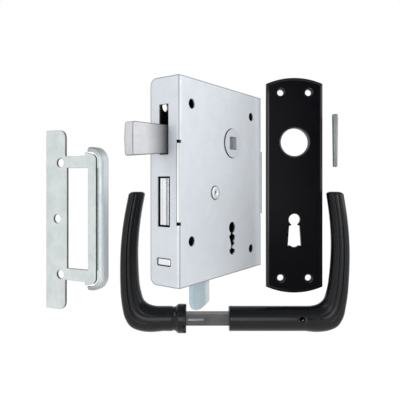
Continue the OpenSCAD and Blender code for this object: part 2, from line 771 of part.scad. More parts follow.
// Outline of the staple's wall with its two rolled ends, drawn in by an inset.
// Each of staple_steps is a layer of the rounded front: its near depth, its inset and its far depth.
module staple_outline(inset) {
    x1 = staple_x1 - inset;
    x0 = staple_x1 - staple_tab;
    half = staple_h / 2 - inset;
    r = staple_roll - inset;
    t = keeper_sheet;
    difference() {
        union() {
            translate([x1 - r, -half + r]) square([r, 2 * (half - r)]);
            for (side = [-1, 1]) translate([x1 - r, side * (half - r)]) circle(r = r);
            translate([x0, -half]) square([x1 - r - x0, 2 * half]);
        }
        translate([x0 - 2 * r, -half + t]) square([x1 + r - x0, 2 * (half - t)]);
        translate([x1 - r - eps, -half + r]) square([r - t + eps, 2 * (half - r)]);
        for (side = [-1, 1]) translate([x1 - r, side * (half - r)]) circle(r = r - t);
    }
}

// Staple: the wall that holds the bolts, with a rounded front and both ends rolled into ramps
module keeper_staple() {
    color(steel) keeper_frame() translate([0, 0, keeper_mid]) union() {
        for (step = staple_steps) translate([0, step[2], 0]) rotate([90, 0, 0])
            linear_extrude(height = step[2] - step[0]) staple_outline(step[1]);
        translate([bar_x1 - 2, keeper_sheet, -window_h / 2])
            cube([staple_x1 - keeper_sheet - bar_x1 + 2.2, keeper_sheet, window_h]);
    }
}

// Escutcheon outline: straight sides and arched ends
module esc_outline(inset) {
    w = esc_w / 2 - inset;
    h = esc_h / 2 - inset;
    intersection() {
        translate([-w, -h]) square([2 * w, 2 * h]);
        union() {
            translate([-w, -h + esc_arc_r]) square([2 * w, 2 * (h - esc_arc_r)]);
            for (side = [-1, 1]) translate([0, side * (h - esc_arc_r)]) circle(r = esc_arc_r);
        }
    }
}

module esc_keyhole() {
    circle(d = 8.2);
    polygon([[-2.3, -3], [-2.2, -3.9], [-3.85, -4.6], [-4.8, -18.7], [-3, -18.5], [-1.6, -19.4], [0, -19.8],
        [1.6, -19.4], [3, -18.5], [4.8, -18.7], [3.85, -4.6], [2.2, -3.9], [2.3, -3]]);
}

// Handle hole's height, and the steps of the rounded rim: depth below the face and inset
esc_handle_z = 30.6;
esc_steps = [[1.2, 0], [0.5, 0.6], [0, 1.3]];
module escutcheon() {
    lip = 1.2;
    color(black) laid_out(esc_at) difference() {
        union() {
            for (step = esc_steps) translate([0, esc_t, 0]) rotate([90, 0, 0])
                linear_extrude(height = esc_t - step[0]) esc_outline(step[1]);
            translate([0, esc_t, esc_handle_z]) rotate([90, 0, 0])
                cylinder(d = esc_hole_d + 2 * lip, h = esc_t + 0.5);
        }
        translate([0, esc_t + 1, esc_handle_z]) rotate([90, 0, 0]) cylinder(d = esc_hole_d, h = esc_t + 3);
        translate([0, esc_t + 1, esc_handle_z - centres]) rotate([90, 0, 0])
            linear_extrude(height = esc_t + 3) esc_keyhole();
        for (x = [-1, 1], z = [-1, 1]) translate([x * esc_screw_x / 2, 0, z * (esc_h / 2 - esc_screw_end)])
            rotate([90, 0, 0]) esc_screw_hole();
    }
}

// Countersunk hole along Z, from behind the plate to its face
module esc_screw_hole() {
    translate([0, 0, -esc_t - 1]) cylinder(d = esc_screw_d, h = esc_t + 3);
    translate([0, 0, -0.9]) cylinder(d1 = esc_screw_d, d2 = esc_screw_d + 2.2, h = 1.1);
}

// Lever outline in its own plane: spindle axis along X at height 0, grip upright on the left.
// The outer and inner edges run from the neck to the top of the grip, drawn for a grip of grip_ref.
grip_ref = 85.9;
grip_root_z = 10;
outer_edge = [[0, -neck_d / 2], [-7.9, -9.1], [-15.8, -8.2], [-22.3, -5.1], [-26.1, 1], [-27.8, 7.9],
    [-29, 17.8], [-29.4, 34.2], [-28.8, 50.8], [-26.8, 67.4], [-23.6, 84]];
inner_edge = [[0, neck_d / 2], [-4.4, 8.5], [-8.4, 9.2], [-11.3, 10.5], [-13.6, 12.8], [-15, 16.8],
    [-16.4, 23.7], [-17.2, 36.2], [-17.2, 50.8], [-15.6, 67.4], [-12.7, 84]];
half_depth = [neck_d / 2, 8.2, 8, 7.9, 7.8, 7.7, 7.7, 7.6, 7.4, 7.1, 6.8];
ring_sides = 20;
ring_steps = 3;

// Point of a smooth curve through the list p, at the fraction t from its point i to the next
function spline(p, i, t) =
    let (last = len(p) - 1, a = p[max(i - 1, 0)], b = p[i], c = p[min(i + 1, last)], d = p[min(i + 2, last)])
    0.5 * (2 * b + (c - a) * t + (2 * a - 5 * b + 4 * c - d) * t * t + (3 * b - a - 3 * c + d) * t * t * t);

// Elliptical ring between a point of the outer edge and a point of the inner edge
function ring(outer, inner, depth) =
    let (mid = (outer + inner) / 2, half = (outer - inner) / 2)
    [for (k = [0:ring_sides - 1]) let (ang = 360 * k / ring_sides)
        [mid[0] + half[0] * cos(ang), depth * sin(ang), mid[1] + half[1] * cos(ang)]];

// Stretches an edge point to the grip's height, and leans the grip outwards by lean at its top
function gripped(p, lean) = let (rise = max(p[1] - grip_root_z, 0))
    [p[0] - lean * rise / 74, min(p[1], grip_root_z) + rise * grip_h / grip_ref];

// Solid lever: one skin over rings between the two edges, with a domed top
module lever_solid(neck_len, lean) {
    spans = len(outer_edge) - 1;
    stations = [for (i = [0:spans - 1], j = [0:ring_steps - 1]) [i, j / ring_steps]];
    body_rings = [for (s = stations) ring(gripped(spline(outer_edge, s[0], s[1]), lean),
        gripped(spline(inner_edge, s[0], s[1]), lean), spline(half_depth, s[0], s[1]))];
    top_o = gripped(outer_edge[spans], lean);
    top_i = gripped(inner_edge[spans], lean);
    mid = (top_o + top_i) / 2;
    half = (top_o - top_i) / 2;
    cap_rings = [for (c = [[1, 0], [0.93, 1.2], [0.76, 1.9]]) let (at = mid + [0.25 * c[1], c[1]])
        ring(at + half * c[0], at - half * c[0], half_depth[spans] * c[0])];
    start_ring = [ring([neck_len, -neck_d / 2], [neck_len, neck_d / 2], neck_d / 2)];
    rings = concat(start_ring, body_rings, cap_rings);
    sides = ring_sides;
    count = len(rings);
    points = [for (r = rings) each r];
    skin = [for (i = [0:count - 2], k = [0:sides - 1])
        let (a = i * sides + k, b = i * sides + (k + 1) % sides)
        each [[a, a + sides, b + sides], [a, b + sides, b]]];
    start_face = [[for (k = [0:sides - 1]) k]];
    end_face = [[for (k = [sides - 1:-1:0]) (count - 1) * sides + k]];
    polyhedron(points = points, faces = concat(start_face, skin, end_face));
}

fixed_neck = 9.3;
loose_neck = 52.2;
loose_lean = 3;
collar_len = 6.8;
collar_bevel = 1.4;
spindle_in_fixed = 22;
spindle_in_loose = 30;
fixed_pin_x = 2.5;
lever_fixed_x = collar_face - collar_len - fixed_neck;
lever_loose_x = collar_face + spindle_gap + loose_neck;

// Square bar or hole along X between two positions on the spindle's axis
module square_along(x0, x1, w) {
    translate([x0, -w / 2, -w / 2]) cube([x1 - x0, w, w]);
}

module round_along(x0, x1, d0, d1) {
    translate([x0, 0, 0]) rotate([0, 90, 0]) cylinder(d1 = d0, d2 = d1, h = x1 - x0);
}

module cross_hole(x, z, d) {
    translate([x, 0, z]) rotate([90, 0, 0]) cylinder(d = d, h = 2 * neck_d, center = true);
}

module lever_fixed() {
    color(black) laid_out(levers_at) difference() {
        translate([lever_fixed_x, 0, 0]) lever_solid(fixed_neck, 0);
        square_along(collar_face - collar_len - spindle_in_fixed, collar_face, spindle_w);
        cross_hole(lever_fixed_x + fixed_pin_x, 0, 3);
    }
}

// Collar on the fixed lever's neck: a broad band, bevelled on its left, with a ring of notches
module lever_collar() {
    x0 = collar_face - collar_len;
    notches = 12;
    color(black) laid_out(levers_at) difference() {
        union() {
            round_along(x0, x0 + collar_bevel, collar_d - 2.2, collar_d);
            round_along(x0 + collar_bevel, collar_face, collar_d, collar_d);
        }
        square_along(x0 - 1, collar_face + 1, spindle_w);
        for (k = [0:notches - 1]) rotate([360 * (k + 0.5) / notches, 0, 0])
            translate([collar_face - 2, -0.8, collar_d / 2 - 0.9]) cube([3, 1.6, 2]);
    }
}

module lever_pin() {
    color(dull) laid_out(levers_at + [lever_fixed_x + fixed_pin_x, 0, 0])
        rotate([90, 0, 0]) cylinder(d = 3, h = neck_d - 1, center = true);
}

// Loose lever: a long sleeve that slides on the spindle
module lever_loose() {
    sleeve_x = collar_face + spindle_gap;
    color(black) laid_out(levers_at) difference() {
        translate([lever_loose_x, 0, 0]) mirror([1, 0, 0]) lever_solid(loose_neck, loose_lean);
        square_along(sleeve_x - 1, sleeve_x + loose_neck + 8, spindle_w + 2 * spindle_fit);
        cross_hole(lever_loose_x - 3.2, 1.4, 3.7);
    }
}

module spindle() {
    x0 = collar_face - collar_len - spindle_in_fixed;
    groove_x0 = x0 + 30;
    groove_x1 = collar_face + 12.2;
    color(dull) laid_out(levers_at) difference() {
        square_along(x0, collar_face + spindle_gap + spindle_in_loose, spindle_w);
        translate([groove_x0, -spindle_w / 2 - 1, -0.9]) cube([groove_x1 - groove_x0, 1.8, 1.8]);
        cross_hole(lever_fixed_x + fixed_pin_x, 0, 3);
    }
}

// Loose taper pin that locks the loose lever on the spindle
module taper_pin() {
    color(dull) laid_out(pin_at) cylinder(d1 = pin_d_low, d2 = pin_d_top, h = pin_len);
}

case_body();
back_plate();
guide_stud();
cover_screw();
tail_guide_pin();
follower();
latch();
latch_pivot();
latch_spacer();
latch_spring();
latch_spring_rivet();
deadbolt_head();
deadbolt_tail();
deadbolt_rivets();
tumbler();
tumbler_pin();
tumbler_spring();
tumbler_spring_rivet();
night_bolt();
thumb_tab();
night_spring();
night_strap();
strap_rivets();
keeper_plate();
keeper_staple();
escutcheon();
spindle();
lever_fixed();
lever_collar();
lever_pin();
lever_loose();
taper_pin();
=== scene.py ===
"""Rim box lock set on a pale stage: the lock, its keeper, the lever pair on its spindle,
the keyhole escutcheon and the taper pin. Lengths are metres, in the CAD frame."""

import json
import math

import bmesh
import bpy
import numpy as np
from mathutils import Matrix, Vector


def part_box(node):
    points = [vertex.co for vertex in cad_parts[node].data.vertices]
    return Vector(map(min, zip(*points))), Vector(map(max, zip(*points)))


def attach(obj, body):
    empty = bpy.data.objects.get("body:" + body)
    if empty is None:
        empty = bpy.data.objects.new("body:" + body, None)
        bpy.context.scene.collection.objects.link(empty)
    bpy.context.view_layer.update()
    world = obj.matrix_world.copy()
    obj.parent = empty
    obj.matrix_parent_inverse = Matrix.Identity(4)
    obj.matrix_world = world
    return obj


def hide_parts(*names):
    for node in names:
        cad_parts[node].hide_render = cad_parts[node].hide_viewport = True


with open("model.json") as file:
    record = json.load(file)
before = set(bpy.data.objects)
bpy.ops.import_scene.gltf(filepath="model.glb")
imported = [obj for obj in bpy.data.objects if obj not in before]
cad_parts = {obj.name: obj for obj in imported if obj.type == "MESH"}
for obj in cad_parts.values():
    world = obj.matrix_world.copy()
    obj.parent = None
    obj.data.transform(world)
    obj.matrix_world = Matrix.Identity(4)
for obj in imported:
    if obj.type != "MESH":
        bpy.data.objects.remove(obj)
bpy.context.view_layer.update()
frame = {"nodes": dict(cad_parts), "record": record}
MM = 0.001
BODY_OF = {node: body for body, nodes in frame["record"]["behaviour"]["bodies"].items() for node in nodes}
SLOT_OF = {part["node"]: part["material_slot"] for part in frame["record"]["subparts"]}

# The levers, the escutcheon and the pin stand in one upright plane, which SET_TURN and SET_AT place.
# The keeper has its own frame, and KEEPER_MID is the middle height of its staple there, in millimetres.
SET_TURN = math.radians(36.4)
SET_AT = np.array([-7.8, 11.9, 0.0]) * MM
LEVERS_AT = np.array([0.0, -4.2, -94.5]) * MM
ESCUTCHEON_AT = np.array([67.2, 4.5, -2.6]) * MM
PIN_AT = np.array([94.6, 0.0, 10.2]) * MM
KEEPER_TURN = math.radians(12.4)
KEEPER_AT = np.array([-99.9, -48.1, -26.8]) * MM
KEEPER_MID = 1.3


def spun(points, turn):
    """Points turned about Z."""
    c, s = math.cos(turn), math.sin(turn)
    return np.asarray(points, float) @ np.array([[c, s, 0.0], [-s, c, 0.0], [0.0, 0.0, 1.0]])


def laid_out(points, at):
    """Points of one loose item, moved by at in the set's plane and then to where the plane stands."""
    return spun(np.asarray(points, float) + at, SET_TURN) + SET_AT


# Meshes


def new_object(name, data):
    """Object of the given data, linked to the scene."""
    obj = bpy.data.objects.new(name, data)
    bpy.context.scene.collection.objects.link(obj)
    return obj


def mesh_object(name, points, faces, sharp=35.0):
    """Object of the given points and faces, shaded smooth but for edges over the given angle."""
    mesh = bpy.data.meshes.new(name)
    mesh.from_pydata(np.asarray(points, float).reshape(-1, 3).tolist(), [], [list(f) for f in faces])
    mesh.validate()
    mesh.shade_smooth()
    mesh.set_sharp_from_angle(angle=math.radians(sharp))
    return new_object(name, mesh)


def outward(obj):
    """Turns every face of a closed mesh outwards."""
    work = bmesh.new()
    work.from_mesh(obj.data)
    bmesh.ops.remove_doubles(work, verts=work.verts, dist=1e-7)
    bmesh.ops.recalc_face_normals(work, faces=work.faces)
    work.to_mesh(obj.data)
    work.free()
    return obj


def skin(name, rings, loop=False, sharp=35.0):
    """Skin over rings[i, k]: quads between neighbouring rings, and a fan to the middle of each end.
    With loop the last ring joins the first and there are no ends."""
    rings = np.asarray(rings, float)
    count, sides = rings.shape[:2]
    rows = count if loop else count - 1
    i, k = np.meshgrid(np.arange(rows), np.arange(sides), indexing="ij")
    a = i * sides + k
    b = i * sides + (k + 1) % sides
    c = ((i + 1) % count) * sides + (k + 1) % sides
    d = ((i + 1) % count) * sides + k
    faces = np.stack([a, b, c, d], -1).reshape(-1, 4).tolist()
    points = rings.reshape(-1, 3)
    if not loop:
        ring = np.arange(sides)
        following = np.roll(ring, -1)
        last = (count - 1) * sides
        faces += np.stack([np.full(sides, len(points)), following, ring], -1).tolist()
        faces += np.stack([np.full(sides, len(points) + 1), last + ring, last + following], -1).tolist()
        points = np.vstack([points, rings[0].mean(0), rings[-1].mean(0)])
    return outward(mesh_object(name, points, faces, sharp))


def turned(name, profile, at, axis, sides=64, loop=False, sharp=35.0):
    """Turned piece: each (distance, radius) of the profile, in millimetres, becomes a circle round the axis
    that starts at the given point."""
    axis = np.asarray(axis, float) / np.linalg.norm(axis)
    side = np.cross(axis, [0.0, 0.0, 1.0]) if abs(axis[2]) < 0.9 else np.array([1.0, 0.0, 0.0])
    side = side / np.linalg.norm(side)
    up = np.cross(side, axis)
    profile = np.asarray(profile, float) * MM
    angle = np.linspace(0, 2 * math.pi, sides, endpoint=False)
    circle = np.cos(angle)[:, None] * side + np.sin(angle)[:, None] * up
    rings = np.asarray(at) + profile[:, 0, None, None] * axis + profile[:, 1, None, None] * circle
    return skin(name, rings, loop=loop, sharp=sharp)


def through(points, t):
    """Catmull-Rom curve through the points at parameter t, one unit a span."""
    points = np.asarray(points, float)
    last = len(points) - 1
    i = np.clip(np.floor(t).astype(int), 0, last - 1)
    f = t - i
    if points.ndim > 1:
        f = f[:, None]
    a, b = points[np.maximum(i - 1, 0)], points[i]
    c, d = points[i + 1], points[np.minimum(i + 2, last)]
    return 0.5 * (2 * b + (c - a) * f + (2 * a - 5 * b + 4 * c - d) * f**2 + (3 * b - a - 3 * c + d) * f**3)


def smooth_step(x, low, high):
    """0 up to low, 1 from high on, with a smooth rise between."""
    t = np.clip((x - low) / (high - low), 0, 1)
    return t * t * (3 - 2 * t)


def show(obj, node, material, replaces=()):
    """Gives a piece its node's body and a finish, and hides the CAD nodes it stands for."""
    obj.data.materials.clear()
    obj.data.materials.append(material)
    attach(obj, BODY_OF[node])
    if replaces:
        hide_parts(*replaces)
    return obj


def softened(node, material, width, segments=3, angle=32.0):
    """Copy of a CAD node with its triangles merged, its flat faces joined and its edges rounded."""
    mesh = frame["nodes"][node].data.copy()
    work = bmesh.new()
    work.from_mesh(mesh)
    bmesh.ops.remove_doubles(work, verts=work.verts, dist=2e-6)
    bmesh.ops.dissolve_limit(work, angle_limit=math.radians(0.4), verts=work.verts, edges=work.edges)
    work.to_mesh(mesh)
    work.free()
    mesh.shade_smooth()
    mesh.set_sharp_from_angle(angle=math.radians(angle))
    obj = new_object(node + "_finished", mesh)
    bevel = obj.modifiers.new("edges", "BEVEL")
    bevel.width = width * MM
    bevel.segments = segments
    bevel.limit_method = "ANGLE"
    bevel.angle_limit = math.radians(angle)
    bevel.use_clamp_overlap = True
    bevel.harden_normals = True
    return show(obj, node, material, replaces=[node])


# Finishes


class Finish:
    """The nodes of a finish, in a new material or in the tree given. place is the Object coordinate in
    metres, or in a world the direction that is looked along."""

    def __init__(self, tree, name=None):
        self.material = None
        if tree is None:
            self.material = bpy.data.materials.new(name)
            self.material.use_nodes = True
            tree = self.material.node_tree
        self.nodes, self.links = tree.nodes, tree.links
        self.shader = self.nodes.get("Principled BSDF")
        self.place = self.nodes.new("ShaderNodeTexCoord").outputs["Object" if self.shader else "Generated"]

    def fill(self, socket, value):
        """Sets a socket to a number, a vector or a colour, or links an output to it."""
        if isinstance(value, bpy.types.NodeSocket):
            self.links.new(value, socket)
        elif socket.type == "RGBA":
            socket.default_value = (*value, 1.0)
        else:
            socket.default_value = value

    def math(self, kind, *values):
        """A Math node of the given kind over the values."""
        node = self.nodes.new("ShaderNodeMath")
        node.operation = kind
        for socket, value in zip(node.inputs, values):
            self.fill(socket, value)
        return node.outputs[0]

    def noise(self, vector, scale, detail=4.0, roughness=0.55):
        """Noise about 0.5 at the given scale, in cells a metre."""
        node = self.nodes.new("ShaderNodeTexNoise")
        for name, value in (("Vector", vector), ("Scale", scale), ("Detail", detail),
                            ("Roughness", roughness)):
            self.fill(node.inputs[name], value)
        return node.outputs["Fac"]

    def moved(self, scale=(1.0, 1.0, 1.0), turn=0.0, offset=(0.0, 0.0, 0.0)):
        """The place scaled, turned about Z and then offset."""
        node = self.nodes.new("ShaderNodeMapping")
        for name, value in (("Vector", self.place), ("Scale", scale), ("Rotation", (0.0, 0.0, turn)),
                            ("Location", offset)):
            self.fill(node.inputs[name], value)
        return node.outputs["Vector"]

    def split(self, vector):
        """X, Y and Z of a vector in millimetres."""
        node = self.nodes.new("ShaderNodeSeparateXYZ")
        self.fill(node.inputs[0], vector)
        return [self.math("MULTIPLY", output, 1000.0) for output in node.outputs]

    def ranged(self, value, low, high, to_low=0.0, to_high=1.0, smooth=False):
        """The value carried linearly, or with a smooth rise, from low and high to to_low and to_high."""
        node = self.nodes.new("ShaderNodeMapRange")
        node.interpolation_type = "SMOOTHSTEP" if smooth else "LINEAR"
        for name, number in (("Value", value), ("From Min", low), ("From Max", high), ("To Min", to_low),
                             ("To Max", to_high)):
            self.fill(node.inputs[name], number)
        return node.outputs["Result"]

    def band(self, value, rise, fall, top=1.0):
        """0 below the rise, top between rise and fall and 0 above the fall, each a pair of values."""
        return self.math("MULTIPLY", self.ranged(value, *rise), self.ranged(value, *fall, top, 0.0))

    def past(self, value, limit):
        """How far a value lies past a limit, and 0 within it."""
        return self.math("MAXIMUM", self.math("SUBTRACT", value, limit), 0.0)

    def length(self, a, b):
        """Length of the side across from a right angle between a and b."""
        return self.math("SQRT", self.math("ADD", self.math("MULTIPLY", a, a), self.math("MULTIPLY", b, b)))

    def blended(self, factor, first, second):
        """The first colour at factor 0, the second at factor 1."""
        node = self.nodes.new("ShaderNodeMix")
        node.data_type = "RGBA"
        for index, value in ((0, factor), (6, first), (7, second)):
            self.fill(node.inputs[index], value)
        return node.outputs[2]

    def bumped(self, height, strength, distance):
        """Tilts the shader's normal by the height."""
        node = self.nodes.new("ShaderNodeBump")
        for name, value in (("Strength", strength), ("Distance", distance), ("Height", height)):
            self.fill(node.inputs[name], value)
        self.links.new(node.outputs["Normal"], self.shader.inputs["Normal"])

    def set(self, **values):
        """Sets the shader's sockets, each named in small letters with underscores."""
        for name, value in values.items():
            self.fill(self.shader.inputs[name.replace("_", " ").title().replace("Ior", "IOR")], value)


# The masks below give 0 to 1. Their lengths, and the case's outer shape and the two axes that they are drawn
# round, are millimetres in the CAD frame.
CASE_X = 21.6
CASE_HALF_Y = 47.5
CASE_HALF_Z = 60.0
CASE_CORNER_R = 4.5
CASE_BEND_R = 2.1
FOLLOWER_AXIS = (7.5, 25.0)
STUD_AXIS = (-12.3, -6.9)


def corner_depth(f, x, z):
    """Depth in millimetres below the case's outline on the door side, whose corners have a 4.5 mm radius."""
    low_x = f.past(CASE_CORNER_R, x)
    far_z = f.past(f.math("ABSOLUTE", z), CASE_HALF_Z - CASE_CORNER_R)
    return f.math("SUBTRACT", CASE_CORNER_R, f.length(low_x, far_z))


def inside_shade(f):
    """Painted shade inside the case: 1 within the case and 0 on its outer shape, which has 2.1 mm bends
    along the room side.
    """
    x, y, z = f.split(f.place)
    high_x = f.past(x, CASE_X - CASE_BEND_R)
    far_y = f.past(f.math("ABSOLUTE", y), CASE_HALF_Y - CASE_BEND_R)
    bend_depth = f.math("SUBTRACT", CASE_BEND_R, f.length(high_x, far_y))
    return f.ranged(f.math("MINIMUM", corner_depth(f, x, z), bend_depth), 0.25, 1.0, smooth=True)


def tab_edge_highlight(f):
    """Painted highlight on the cut edge of the room-side plate, bright along the two middle tabs, up to
    where its outer corner turns."""
    x, y, z = f.split(f.place)
    along = f.ranged(f.math("ABSOLUTE", f.math("ADD", z, 0.6)), 22.0, 22.2, 1.0, 0.0)
    across = f.band(x, (19.85, 19.95), (21.1, 21.3))
    front = f.ranged(f.math("ABSOLUTE", y), 47.3, 47.4)
    return f.math("MULTIPLY", f.math("MULTIPLY", along, across), front)


def keeper_place(f):
    """X, Y and Z in millimetres in the keeper's own frame, with Y the depth behind its front face."""
    return f.split(f.moved(turn=-KEEPER_TURN, offset=tuple(-spun(KEEPER_AT, -KEEPER_TURN))))


def keeper_edge_shade(f):
    """Painted shade on the sheared edges of the keeper's plate, between its two faces."""
    return f.band(keeper_place(f)[1], (0.12, 0.35), (1.45, 1.7))


def staple_wall_light(f):
    """Painted light on the side of the keeper's staple behind its rolled front edge, paler than the edge."""
    return f.ranged(keeper_place(f)[1], 2.2, 3.4)


def staple_painted_shade(f):
    """Painted shade on the rolled ends of the keeper's staple, and faintly along its rear edge."""
    depth, z = keeper_place(f)[1:]
    ends = f.ranged(f.math("ABSOLUTE", f.math("SUBTRACT", z, KEEPER_MID)), 42.0, 48.0)
    rear = f.math("MULTIPLY", f.ranged(depth, 6.6, 8.6), 0.45)
    return f.math("MULTIPLY", f.math("MAXIMUM", ends, rear), 0.8)


def latch_slot_shade(f):
    """Painted shade on the latch, stronger towards the slot it works in."""
    near = f.ranged(f.split(f.place)[1], -66.0, -49.0)
    return f.math("MULTIPLY", f.math("POWER", near, 1.2), 0.96)


def latch_outline_shade(f):
    """Painted shade: a dark line along the latch's upper and lower edges and up both edges of its tip. The
    edges are straight lines over the distance from the bolt front."""
    x, y, z = f.split(f.place)
    out = f.math("ADD", y, CASE_HALF_Y)
    upper_edge = f.math("ADD", f.math("MULTIPLY", out, 0.018), 32.2)
    lower_edge = f.math("ADD", f.math("MULTIPLY", out, 0.09), 16.2)
    nearest = f.math("MINIMUM", f.math("SUBTRACT", upper_edge, z), f.math("SUBTRACT", z, lower_edge))
    tip = f.ranged(y, -74.8, -75.0)
    side = f.math("MAXIMUM", f.ranged(x, 7.85, 7.6), f.ranged(x, 12.75, 12.95, 0.0, 0.55))
    line = f.math("MAXIMUM", f.ranged(nearest, 0.3, 0.55, 1.0, 0.0), f.math("MULTIPLY", tip, side))
    return f.math("MULTIPLY", line, 0.85)


def from_axis(f, axis):
    """Distance in millimetres from a line along X at the given Y and Z."""
    y, z = f.split(f.place)[1:]
    return f.length(f.math("SUBTRACT", y, axis[0]), f.math("SUBTRACT", z, axis[1]))


def tab_pale_strip(f):
    """Paler strip down the thumb tab's rear side."""
    return f.math("MULTIPLY", f.ranged(f.split(f.place)[1], -9.2, -7.4), 0.7)


def follower_rim_shade(f):
    """Painted shade on the side of the follower's journal on the room side, outside the socket."""
    journal = f.band(f.split(f.place)[0], (18.0, 19.0), (22.3, 22.42))
    return f.math("MULTIPLY", journal, f.ranged(from_axis(f, FOLLOWER_AXIS), 6.4, 6.6))


def follower_socket(f):
    """Walls of the square socket, greyer the deeper they lie."""
    paler = f.ranged(f.split(f.place)[0], 8.0, 22.4, 1.0, 0.35)
    return f.math("MULTIPLY", paler, f.ranged(from_axis(f, FOLLOWER_AXIS), 6.0, 5.7))


def stud_ring_shade(f):
    """Painted shade: a dark ring round the riveted head, and in its dimple."""
    r = from_axis(f, STUD_AXIS)
    front = f.ranged(f.split(f.place)[0], 21.4, 21.5)
    ring = f.ranged(r, 3.75, 4.05)
    dimple = f.ranged(r, 0.75, 1.05, 1.0, 0.0)
    return f.math("MULTIPLY", front, f.math("MAXIMUM", ring, dimple))


def case_outline_shade(f):
    """Painted shade: a thin grey line along the case's outer edges: round the bolt front's outline, along
    the upper and lower edges of the room-side plate, and up its rear bend."""
    x, y, z = f.split(f.place)
    outline = f.ranged(corner_depth(f, x, z), 0.35, 0.75, 1.0, 0.0)
    front = f.ranged(y, -46.7, -46.9)
    room = f.ranged(x, 20.3, 20.6)
    rear = f.math("MULTIPLY", f.ranged(y, 46.6, 47.0), room)
    outline = f.math("MULTIPLY", outline, f.math("MAXIMUM", front, room))
    return f.math("MULTIPLY", f.math("MAXIMUM", outline, rear), 0.7)


def bend_reflection(f):
    """Painted dark reflection where the bolt front turns into the room-side plate, further round the bend
    below the tabs than above them."""
    x, y, z = f.split(f.place)
    upper = f.band(x, (20.2, 20.6), (21.0, 21.3))
    lower = f.band(x, (20.85, 21.1), (21.42, 21.52))
    below = f.ranged(z, -22.0, -24.0)
    above = f.math("SUBTRACT", 1.0, below)
    line = f.math("ADD", f.math("MULTIPLY", upper, above), f.math("MULTIPLY", lower, below))
    return f.math("MULTIPLY", f.math("MULTIPLY", line, f.ranged(y, -45.2, -45.5)), 0.55)


EDGE_REACH = 0.6


def edge_line(f):
    """Mask of a painted shade along the edges, 1 beside an edge and 0 on the flat: where the normal rounded
    over the edge's reach leaves the surface's own."""
    rounded = f.nodes.new("ShaderNodeBevel")
    rounded.samples = 8
    rounded.inputs["Radius"].default_value = EDGE_REACH * MM
    own = f.nodes.new("ShaderNodeNewGeometry")
    along = f.nodes.new("ShaderNodeVectorMath")
    along.operation = "DOT_PRODUCT"
    f.links.new(rounded.outputs["Normal"], along.inputs[0])
    f.links.new(own.outputs["Normal"], along.inputs[1])
    return f.ranged(along.outputs["Value"], 0.995, 0.94)


def head_groove_shade_and_line(f):
    """Painted shade on the side of the groove down the deadbolt's head, and a faint drawn line down its
    broader plate.
    """
    x, y = f.split(f.place)[:2]
    low, high = (float(corner[0]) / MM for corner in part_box("deadbolt_head"))
    side = f.band(x, (high - 1.5, high - 1.4), (high - 0.8, high - 0.6))
    drawn = f.band(x, (low + 1.5, low + 1.6), (low + 1.9, low + 2.0), 0.3)
    return f.math("MULTIPLY", f.math("ADD", side, drawn), f.ranged(y, -46.6, -46.8))


def spindle_groove(f):
    """Floor and walls of the groove along the spindle's front flat, found in the levers' own frame."""
    offset = -spun(SET_AT, -SET_TURN) - LEVERS_AT
    y, z = f.split(f.moved(turn=-SET_TURN, offset=tuple(offset)))[1:]
    deep = f.band(y, (-3.8, -3.7), (-2.8, -2.7))
    across = f.ranged(f.math("ABSOLUTE", z), 0.88, 0.95, 1.0, 0.0)
    return f.math("MULTIPLY", deep, across)


# Colours of painted light and shade: the dark inside the case, the dark lines along outlines and edges, and
# a painted highlight on a cut edge
INSIDE_SHADE = (0.012, 0.012, 0.014)
PAINTED_DARK_LINE = (0.11, 0.12, 0.13)
EDGE_SHADE = (0.07, 0.075, 0.08)
CUT_EDGE_HIGHLIGHT = (0.93, 0.93, 0.94)


def plated(name, light, dark, metallic=0.75, rough=(0.34, 0.5), streak=(1.0, 1.0, 14.0), layers=(),
           edge_shading=0.0):
    """Plated or drawn steel: cloudy patches a few millimetres across, fine streaks and a tiny grain. streak
    scales X, Y and Z for the streaks, which run along the axes of the least scale. Each of layers is a mask
    and the colour that it lays on. The last argument sets how strongly a painted shade, a dark line along
    the edges, shows."""
    f = Finish(None, name)
    clouds = f.noise(f.place, 95.0, 5.0, 0.6)
    streaks = f.noise(f.moved(streak), 260.0, 3.0, 0.5)
    fine = f.noise(f.place, 2600.0, 2.0, 0.5)
    mixed = f.math("ADD", f.math("MULTIPLY", clouds, 0.65), f.math("MULTIPLY", streaks, 0.35))
    colour = f.blended(f.ranged(mixed, 0.35, 0.65), dark, light)
    if edge_shading:
        colour = f.blended(f.math("MULTIPLY", edge_line(f), edge_shading), colour, EDGE_SHADE)
    for mask, laid in layers:
        colour = f.blended(mask(f), colour, laid)
    f.set(base_color=colour, roughness=f.ranged(mixed, 0.3, 0.7, rough[1], rough[0]), metallic=metallic)
    f.bumped(f.math("ADD", f.math("MULTIPLY", streaks, 0.5), fine), 0.05, 0.0002)
    return f.material


def moulded(name, colour, rough, grain, specular):
    """Moulded black plastic: an even colour with faint mottling, and a fine moulded grain."""
    f = Finish(None, name)
    mottling = f.noise(f.place, 140.0, 3.0, 0.5)
    lighter = tuple(min(1.0, c * 1.35 + 0.001) for c in colour)
    f.set(base_color=f.blended(mottling, colour, lighter), roughness=f.ranged(mottling, 0.3, 0.7, *rough),
          specular_ior_level=specular)
    f.bumped(f.noise(f.place, 1500.0, 3.0, 0.6), grain, 0.0001)
    return f.material


